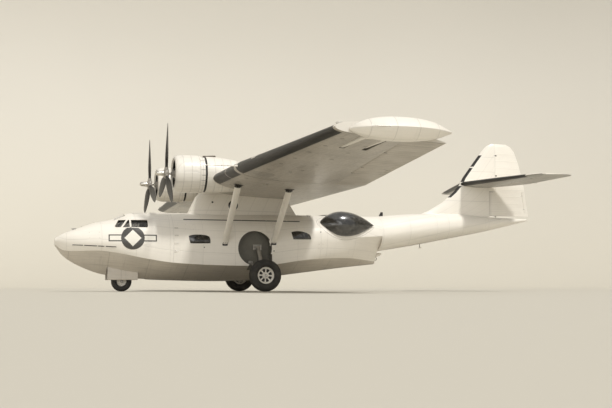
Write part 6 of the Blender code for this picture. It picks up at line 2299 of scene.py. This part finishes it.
def make_mark(name, side):
    """A plain disc with a light diamond, and light bars with dark edges."""
    a, b, r = MARK_STATION, MARK_HEIGHT, MARK_RADIUS
    bm = bmesh.new()
    skin = side_at(side)
    for way in (-1, 1):
        for inner, outer, half, lift, tone in ((0.90, 2.05, 0.30, 0.003, 0), (0.95, 1.95, 0.20, 0.0045, 1)):
            low, high = sorted((a + way * r * inner, a + way * r * outer))
            patch(bm, skin, [(s, b - half * r, b + half * r) for s in steps_between(low, high, 8)], lift,
                  across=4, tone=tone)
    patch(bm, skin, disc(a, b, r, 28), 0.006, across=14)
    reach = r * 0.72
    rows = [(a + reach * t, b - reach * max(1 - abs(t), 0.02), b + reach * max(1 - abs(t), 0.02))
            for t in steps_between(-1, 1, 16)]
    patch(bm, skin, rows, 0.0085, across=10, tone=1)
    piece("hull_mark_" + name, bm, ["mark", "mark_light"], angle=40)


make_ailerons()
make_rudder()
make_elevators()
for side_name, way_out in SIDES:
    make_windows(side_name, way_out)
    make_mark(side_name, way_out)

# Fittings


def round_at(side):
    """Hull skin: station and distance round it from the middle of the deck."""
    def place(station, reach):
        half = half_outline(hull_table(station), station)[::-1]
        for before, after in zip(half, half[1:]):
            length = math.dist(before, after)
            if reach <= length or after is half[-1]:
                t = reach / length
                return at(station, side * spread(before[0], after[0], t), spread(before[1], after[1], t))
            reach -= length
    return place, (lambda point: Vector((point.x, 0.0, point.z - NOSE_HEIGHT - 0.2)))


def blister_outline(side, extra):
    """Where the blister meets the hull, widened by a distance."""
    place = round_at(side)[0]
    station, port, height = BLISTER[:3]
    axis = at(station, side * port, height)

    def inside(a, b):
        point = place(a, b) - axis
        return math.hypot(point.x, point.z) < spindle_radius(a)

    middle = min(steps_between(0.6, 2.0, 40), key=lambda b: (place(station, b) - axis).length)
    loop = []
    for angle in circle(72):
        low, high = 0.0, 2.0
        for _ in range(24):
            reach = (low + high) / 2
            if inside(station + math.cos(angle) * reach, middle + math.sin(angle) * reach):
                low = reach
            else:
                high = reach
        loop.append((station + math.cos(angle) * (low + extra), middle + math.sin(angle) * (low + extra)))
    return loop


def make_blister_rims():
    for name, side in SIDES:
        bm = bmesh.new()
        skin = round_at(side)
        band(bm, skin, blister_outline(side, -0.006), 0.020, 0.012, 0)
        band(bm, skin, blister_outline(side, 0.125), 0.009, 0.0025, 1)
        studs(bm, skin, blister_outline(side, 0.028)[::2], 0.006, 0.004, 0)
        piece("blister_rim_" + name, bm, ["cream", "grey"], angle=40)


def make_waist_inside():
    """Frames, floor boards and a bench seen through the blisters."""
    bm = bmesh.new()
    for station in (8.45, 8.90, 9.35, 9.78, 12.05):
        outline = mirrored(lined_half(AFTERBODY, WAIST_FLOOR, station))
        outer = [at(station, port * 0.998, height) for port, height in outline]
        inner = [at(station, port * 0.955, 0.3 + (height - 0.3) * 0.94) for port, height in outline]
        rings = [outer, inner, [p + Y * 0.03 for p in inner], [p + Y * 0.03 for p in outer], outer]
        add_skin(bm, rings, 0, caps=(False, False))
    for row in range(7):
        port = -0.36 + 0.12 * row
        add_box(bm, at(8.2, port - 0.055, -0.262), at(11.0, port + 0.055, -0.240), 1)
    for _, side in SIDES:
        add_box(bm, at(9.5, side * 0.72 - 0.16, 0.08), at(10.2, side * 0.72 + 0.16, 0.14), 2)
        for station in (9.55, 10.15):
            add_tube(bm, [at(station, side * 0.72, height) for height in (-0.30, 0.08)], 0.018, 10, 0)
    bmesh.ops.remove_doubles(bm, verts=bm.verts, dist=1e-5)
    piece("waist_frames", bm, ["primer", "grey", "leather"], angle=35)


def at_wing(point):
    """A point's place along the wing's chord plane, from the leading edge."""
    lead, level, _, _ = straight_row(WING, abs(point.x))
    return (point - at(lead, point.x, level)).dot(WING_BACK)


def strut_spots(foot, head, side):
    """Where a strut's middle line comes out of the hull and where it meets the wing."""
    start, end = strut_line(foot, head, side)
    low = high = None
    for k in range(401):
        point = start.lerp(end, k / 400)
        station, height = point.y + LENGTH / 2, point.z - NOSE_HEIGHT
        half = half_outline(hull_table(station), station)[BOTTOM_STEPS:]
        if low is None and abs(point.x) >= along_outline(half, height, 1):
            low = point
        if high is None and point.z >= wing_point(point.x, at_wing(point), -1).z:
            high = point
    return low, high or end


def make_strut_ends():
    for name, side in SIDES:
        bm = bmesh.new()
        for _, foot, head in STRUTS:
            low, high = strut_spots(foot, head, side)
            along = (high - low).normalized()
            across = along.cross(Y).normalized()
            for spot, way, reach, tone in ((low, along, 0.075, 2), (high, -along, 0.105, 0)):
                places = ((-0.05, 1.12), (reach - 0.012, 1.10), (reach, 1.03), (reach + 0.004, 0.98))
                add_skin(bm, [ring_round(spot + way * d, Y, across, 0.12 * grow, 0.058 * grow, 32)
                              for d, grow in places], tone)
                for dy in (-0.07, 0.0, 0.07):
                    bolt = spot + way * (reach * 0.55) + Y * dy
                    add_tube(bm, [bolt - across * 0.075, bolt + across * 0.075], 0.011, 6, 1)
            station, height = low.y + LENGTH / 2, low.z - NOSE_HEIGHT
            for half, below, above, corner, lift, across_count, tone in (
                    (0.17, 0.09, 0.10, 0.08, 0.006, 8, 2), (0.10, 0.13, 0.01, 0.03, 0.016, 6, 0)):
                patch(bm, side_at(side),
                      rounded(station - half, station + half, height - below, height + above, corner), lift,
                      across=across_count, tone=tone)
            reach = at_wing(high)
            patch(bm, wing_at(-1), rounded(high.x - 0.10, high.x + 0.10, reach - 0.17, reach + 0.17, 0.05),
                  0.012, across=8)
        piece("strut_ends_" + name, bm, ["black", "steel", "cream"], angle=40)


def make_seams():
    """A black band under the pylon, painted shadow for the gap there, with its three clips; and the raised
    strakes on the bow, black as painted shadow under them.
    """
    for name, side in SIDES:
        skin = side_at(side)
        bm = bmesh.new()
        # Black band: painted shadow of the gap under the pylon's fairing.
        band(bm, skin, [(a, 0.845) for a in steps_between(4.62, 9.13, 46)], 0.034, 0.0045, 0, closed=False)
        for station in (6.84, 7.80, 8.62):
            patch(bm, skin, [(a, 0.835, 0.895) for a in steps_between(station - 0.02, station + 0.02, 2)],
                  0.010, across=3, tone=1)
        # Raised strakes, black as painted shadow under them.
        for first, last in ((0.62, 0.98), (1.02, 1.46), (1.50, 1.72), (1.77, 2.14)):
            loop = [(a, spread(-0.135, -0.215, (a - 0.62) / 1.52)) for a in steps_between(first, last, 8)]
            band(bm, skin, loop, 0.022, 0.016, 0, closed=False)
        piece("hull_seam_shadows_" + name, bm, ["black", "cream"], angle=40)


def deck_hatch(bm, deck, first, last, half):
    outline = rounded(first, last, -half, half, 0.10)
    patch(bm, deck, outline, 0.007, across=10)
    band(bm, deck, loop_of(outline), 0.018, 0.004)
    for port in (-half * 0.6, half * 0.6):
        hinge = [deck_place(first - 0.012, port + end) + Z * 0.010 for end in (-0.05, 0.05)]
        add_tube(bm, hinge, 0.010, 10, 1)
    handle = deck_place(last - 0.09, 0.0)
    add_tube(bm, [handle + X * x + Z * z
                  for x, z in ((0.06, 0.004), (0.05, 0.028), (-0.05, 0.028), (-0.06, 0.004))],
             0.006, 8, 1)


def cleat(bm, foot):
    for dy in (-0.035, 0.035):
        add_tube(bm, [foot + Y * dy - Z * 0.01, foot + Y * dy + Z * 0.045], [0.014, 0.010], 12, 1)
    add_tube(bm, [foot + Y * y + Z * z
                  for y, z in ((-0.10, 0.052), (-0.05, 0.047), (0.05, 0.047), (0.10, 0.052))],
             [0.007, 0.011, 0.011, 0.007], 12, 1)


def side_fittings(bm, side):
    """The bow locker door and panels along the side, their studs and the hand holds."""
    skin = side_at(side)
    for a0, a1, b0, b1 in ((1.16, 1.58, 0.06, 0.34), (4.62, 4.98, 0.42, 0.66), (9.78, 10.02, -0.24, -0.02)):
        band(bm, skin, loop_of(rounded(a0, a1, b0, b1, 0.05)), 0.012, 0.0035)
        studs(bm, skin, [(a, b) for b in (b0 + 0.04, b1 - 0.04) for a in (a0 + 0.04, a1 - 0.04)], 0.009,
              0.005, 1)
    studs(bm, skin, ((5.33, -0.22), (7.99, -0.33), (9.90, 0.42)), 0.022, 0.006, 2, 16)
    for step in range(4):
        place = skin[0](4.30 + step * 0.002, -0.35 + 0.28 * step)
        bar = ((-0.07, 0.002), (-0.06, 0.035), (0.06, 0.035), (0.07, 0.002))
        add_tube(bm, [place + Y * y + X * (side * x) for y, x in bar], 0.008, 8, 1)


def keel_strip(bm, table, first, last, count, lift, radius):
    line = [at(a, 0.0, half_outline(table, a)[0][1] - lift) for a in steps_between(first, last, count)]
    for start, end in zip(line, line[1:]):
        add_tube(bm, [start, end], radius, 8, 3, 0.7)


def tail_fittings(bm):
    """The towing cone and ring, the tail mooring post, the blade aerial and the tail lamp."""
    cone = at(12.62, 0.0, -0.40)
    add_tube(bm, [cone, cone + Vector((0, 0.16, 0.03)), cone + Vector((0, 0.24, 0.05))], [0.075, 0.06, 0.02],
             20, 0)
    add_turned(bm, [(0.060, -0.012), (0.075, 0.0), (0.060, 0.012), (0.045, 0.0)], at(12.60, 0.0, -0.55), X,
               24, 1, closed=True)
    keel = half_outline(BOOM, 14.5)[0][1]
    add_tube(bm, [at(14.5, 0.06, keel + 0.06), at(14.5, 0.07, keel - 0.14)], 0.013, 10, 2)
    add_tube(bm, [at(14.47, 0.07, keel - 0.145), at(14.56, 0.07, keel - 0.135)], 0.028, 12, 0)
    aerial = deck_place(12.85, 0.0)
    add_skin(bm, [[aerial + Vector((x, y, z))
                   for x, y in ((0, -0.09 + z * 0.5), (0.012, 0.0), (0, 0.09), (-0.012, 0.0))]
                  for z in (-0.01, 0.16)], 2)
    add_turned(bm, [(0.0004, -0.01), (0.030, 0.0), (0.034, 0.03), (0.022, 0.06), (0.0004, 0.07)],
               at(19.33, 0.0, 1.12), Y, 20, 4)


def make_hatches():
    """Hatches, inspection plates, cleats, lamps and other small fittings."""
    bm = bmesh.new()
    deck = (deck_place, Z)
    for first, last, half in ((0.98, 1.52, 0.24), (3.52, 4.02, 0.27), (9.30, 9.86, 0.27)):
        deck_hatch(bm, deck, first, last, half)
    for station, port in ((0.70, 0.20), (0.70, -0.20), (9.62, 0.62), (9.62, -0.62)):
        cleat(bm, deck_place(station, port))
    for _, side in SIDES:
        side_fittings(bm, side)
    keel_strip(bm, FOREBODY, 3.35, MAIN_STEP - 0.01, 20, 0.004, 0.018)
    keel_strip(bm, AFTERBODY, MAIN_STEP + 0.05, 12.5, 16, 0.002, 0.016)
    tail_fittings(bm)
    piece("hull_fittings", bm, ["cream", "steel", "black", "grey", "lamp"], angle=38)


def wing_half_fittings(bm, top, under, side):
    """One side's fuel caps, inspection plates, discs, joint strips, tie-down ring and lamps."""
    for out, reach in ((1.6, 1.1), (3.2, 1.1), (3.2, 2.3), (5.2, 1.2), (7.4, 1.1), (8.6, 1.5)):
        patch(bm, top, disc(side * out, reach, 0.10), 0.004, across=6)
        patch(bm, top, disc(side * out, reach, 0.055), 0.012, across=6, tone=1)
    # Plates, discs and joint strips under the wing are grey like the lower skin: painted shade.
    patch(bm, under, disc(side * 7.2, 0.72, 0.36, 24), 0.0022, across=10, tone=3)
    for k, out in enumerate(steps_between(1.0, 14.2, 22)):
        if abs(out - 7.2) > 0.7 and abs(out - 4.0) > 0.5:
            patch(bm, under, disc(side * out, 0.55 + 0.9 * (k % 2), 0.062, 10), 0.0035, across=4, tone=4)
    for out in (6.34, 14.95):
        joint = [(side * out, reach) for reach in steps_between(0.30, 3.0, 14)]
        for skin, tone in ((under, 4), (top, 0)):
            band(bm, skin, joint, 0.04 * side, 0.003, tone, closed=False)
    ring = wing_point(side * 8.4, 1.2, -1)
    add_turned(bm, [(0.030, -0.008), (0.038, 0.0), (0.030, 0.008), (0.022, 0.0)], ring - Z * 0.02, X, 20, 1,
               closed=True)
    patch(bm, top, rounded(side * 8.2 - 0.20, side * 8.2 + 0.20, 0.012, 0.20, 0.05), 0.004, across=8, tone=5)
    lamp = wing_point(side * 14.96, 0.16, 1)
    add_turned(bm, [(0.0004, -0.13), (0.028, -0.10), (0.036, -0.03), (0.030, 0.06), (0.0004, 0.10)], lamp, Y,
               16, 5)


def make_wing_fittings():
    bm = bmesh.new()
    top, under = wing_at(1), wing_at(-1)
    for low, high in ((-0.62, -0.22), (0.22, 0.62)):
        patch(bm, top, [(a, 0.55, 3.6) for a in steps_between(low, high, 3)], 0.002, across=24, tone=2)
    for _, side in SIDES:
        wing_half_fittings(bm, top, under, side)
    piece("wing_fittings", bm, ["cream", "steel", "walk", "plate", "grey", "lamp"],
          angle=38)


PROBE_OUT = 6.62


def make_probe():
    """The air speed probe on the port wing."""
    station, level, _ = wing_place(PROBE_OUT, 0.03)
    bm = bmesh.new()
    spots = ((station, 0.023), (station - 0.30, 0.023), (station - 0.31, 0.020), (4.62, 0.020),
             (4.60, 0.015), (4.30, 0.014), (4.262, 0.008))
    add_tube(bm, [at(a, PROBE_OUT, level) for a, _ in spots], [r for _, r in spots], 20, 0)
    add_tube(bm, [at(a, PROBE_OUT, level) for a in (4.256, 4.264)], 0.005, 12, 1)
    add_turned(bm, [(0.023, 0.0), (0.036, 0.02), (0.050, 0.08), (0.055, 0.16), (0.020, 0.17)],
               at(station - 0.16, PROBE_OUT, level), Y, 24, 0)
    for place in (4.9, 5.1):
        add_tube(bm, [at(a, PROBE_OUT, level) for a in (place, place + 0.012)], 0.0225, 20, 1)
    piece("air_speed_probe", bm, ["cream", "black"], angle=40)


def make_exhausts():
    """Each engine's tail pipe, with a fairing that carries it on the nacelle."""
    for name, side in SIDES:
        start, end = at(5.14, side * ENGINE_PORT, 3.050), at(5.60, side * ENGINE_PORT, 3.075)
        axis = (end - start).normalized()
        long = (end - start).length
        bm = bmesh.new()
        add_turned(bm, [(0.050, 0.0), (0.056, 0.01), (0.056, long * 0.55), (0.0575, long * 0.56),
                        (0.0575, long - 0.01), (0.054, long), (0.050, long - 0.004), (0.048, long - 0.25)],
                   start, axis, 28, 0, closed=True)
        add_turned(bm, [(0.0004, long * 0.42), (0.049, long * 0.42), (0.049, long * 0.45),
                        (0.0004, long * 0.45)],
                   start, axis, 20, 1)
        for share in (0.18, 0.80):
            spot = start.lerp(end, share)
            add_turned(bm, [(0.055, -0.012), (0.060, -0.010), (0.060, 0.010), (0.055, 0.012)], spot, axis,
                       28, 0, closed=True)
        where = nacelle_at(side * ENGINE_PORT)
        rows = [[where(a, math.pi / 2 + w) for w in (-0.10, -0.06, 0.06, 0.10)]
                + [at(a, side * ENGINE_PORT + x, 3.02) for x in (-0.035, 0.035)] for a in (5.15, 5.35, 5.55)]
        add_skin(bm, rows, 2)
        piece("exhaust_" + name, bm, ["exhaust", "black", "cowl"], angle=40)


make_blister_rims()
make_waist_inside()
make_strut_ends()
make_seams()
make_hatches()
make_wing_fittings()
make_probe()
make_exhausts()

# Stage, light and camera
CAMERA_AZIMUTH = 73.6
CAMERA_DISTANCE = 42.0
CAMERA_HEIGHT = 0.16
CAMERA_AIM = (9.70, 0.0, 1.60)
CAMERA_LENS = 62.5
# Columns: name, direction it comes from, strength, angular size, colour
LIGHTS = (
    ("key", (0.50, 0.22, 0.84), 2.4, 7, (1.0, 0.985, 0.955)),
    ("fill", (0.93, -0.33, 0.10), 0.8, 50, (1.0, 0.99, 0.97)),
)
FLOOR_RADIUS, WALL_START, WALL_CURVE, WALL_TOP = 420.0, 170.0, 80.0, 320.0
WALL_REACH = math.radians(115)


def make_stage():
    """A floor with a curved wall round the far side, open towards the light."""
    profile = [(WALL_START + WALL_CURVE * math.sin(a), WALL_CURVE - WALL_CURVE * math.cos(a))
               for a in steps_between(0, math.pi / 2, 24)] + [(WALL_START + WALL_CURVE, WALL_TOP)]
    bm = bmesh.new()
    add_skin(bm, [[Vector((r * math.sin(turn), r * math.cos(turn), z)) for r, z in profile]
                  for turn in steps_between(-WALL_REACH, WALL_REACH, 96)], closed=False)
    bmesh.ops.create_circle(bm, cap_ends=True, segments=128, radius=FLOOR_RADIUS)
    s = Shade("stage_cream", 0.9)
    cloud = s.ramp(s.object_noise(0.012, 2.0), 0.3, 0.7)
    floor = s.mix(cloud, (0.530, 0.500, 0.430), (0.550, 0.519, 0.447))
    wall = s.mix(cloud, (0.585, 0.558, 0.500), (0.600, 0.573, 0.515))
    s.colour(s.mix(s.ramp(s.places()[2], 0.0, 60.0), floor, wall))
    M["stage"] = s.material
    stage = raw("studio_floor", bm, ["stage"])
    # The floor's far side rises behind the aircraft as the camera sees it.
    stage.rotation_euler = (0, 0, math.radians(CAMERA_AZIMUTH))
    stage.data.shade_smooth()


def make_camera():
    aim = at(*CAMERA_AIM)
    angle = math.radians(CAMERA_AZIMUTH)
    place = Vector((math.sin(angle), -math.cos(angle), 0)) * CAMERA_DISTANCE
    place.z = CAMERA_HEIGHT
    data = bpy.data.cameras.new("camera")
    data.lens = CAMERA_LENS
    data.clip_end = 1000
    camera = bpy.data.objects.new("camera", data)
    camera.location = place
    camera.rotation_euler = (aim - place).to_track_quat("-Z", "Y").to_euler()
    bpy.context.scene.collection.objects.link(camera)
    bpy.context.scene.camera = camera


def make_light():
    world = bpy.data.worlds.new("studio")
    world.use_nodes = True
    background = world.node_tree.nodes["Background"]
    background.inputs[0].default_value = (0.98, 0.97, 0.95, 1.0)
    background.inputs[1].default_value = 0.55
    bpy.context.scene.world = world
    for name, way, strength, size, colour in LIGHTS:
        sun = bpy.data.lights.new(name, "SUN")
        sun.energy = strength
        sun.angle = math.radians(size)
        sun.color = colour
        lamp = bpy.data.objects.new(name, sun)
        lamp.rotation_euler = Vector(way).to_track_quat("Z", "Y").to_euler()
        bpy.context.scene.collection.objects.link(lamp)
    bpy.context.scene.view_settings.view_transform = "Standard"


make_stage()
make_camera()
make_light()
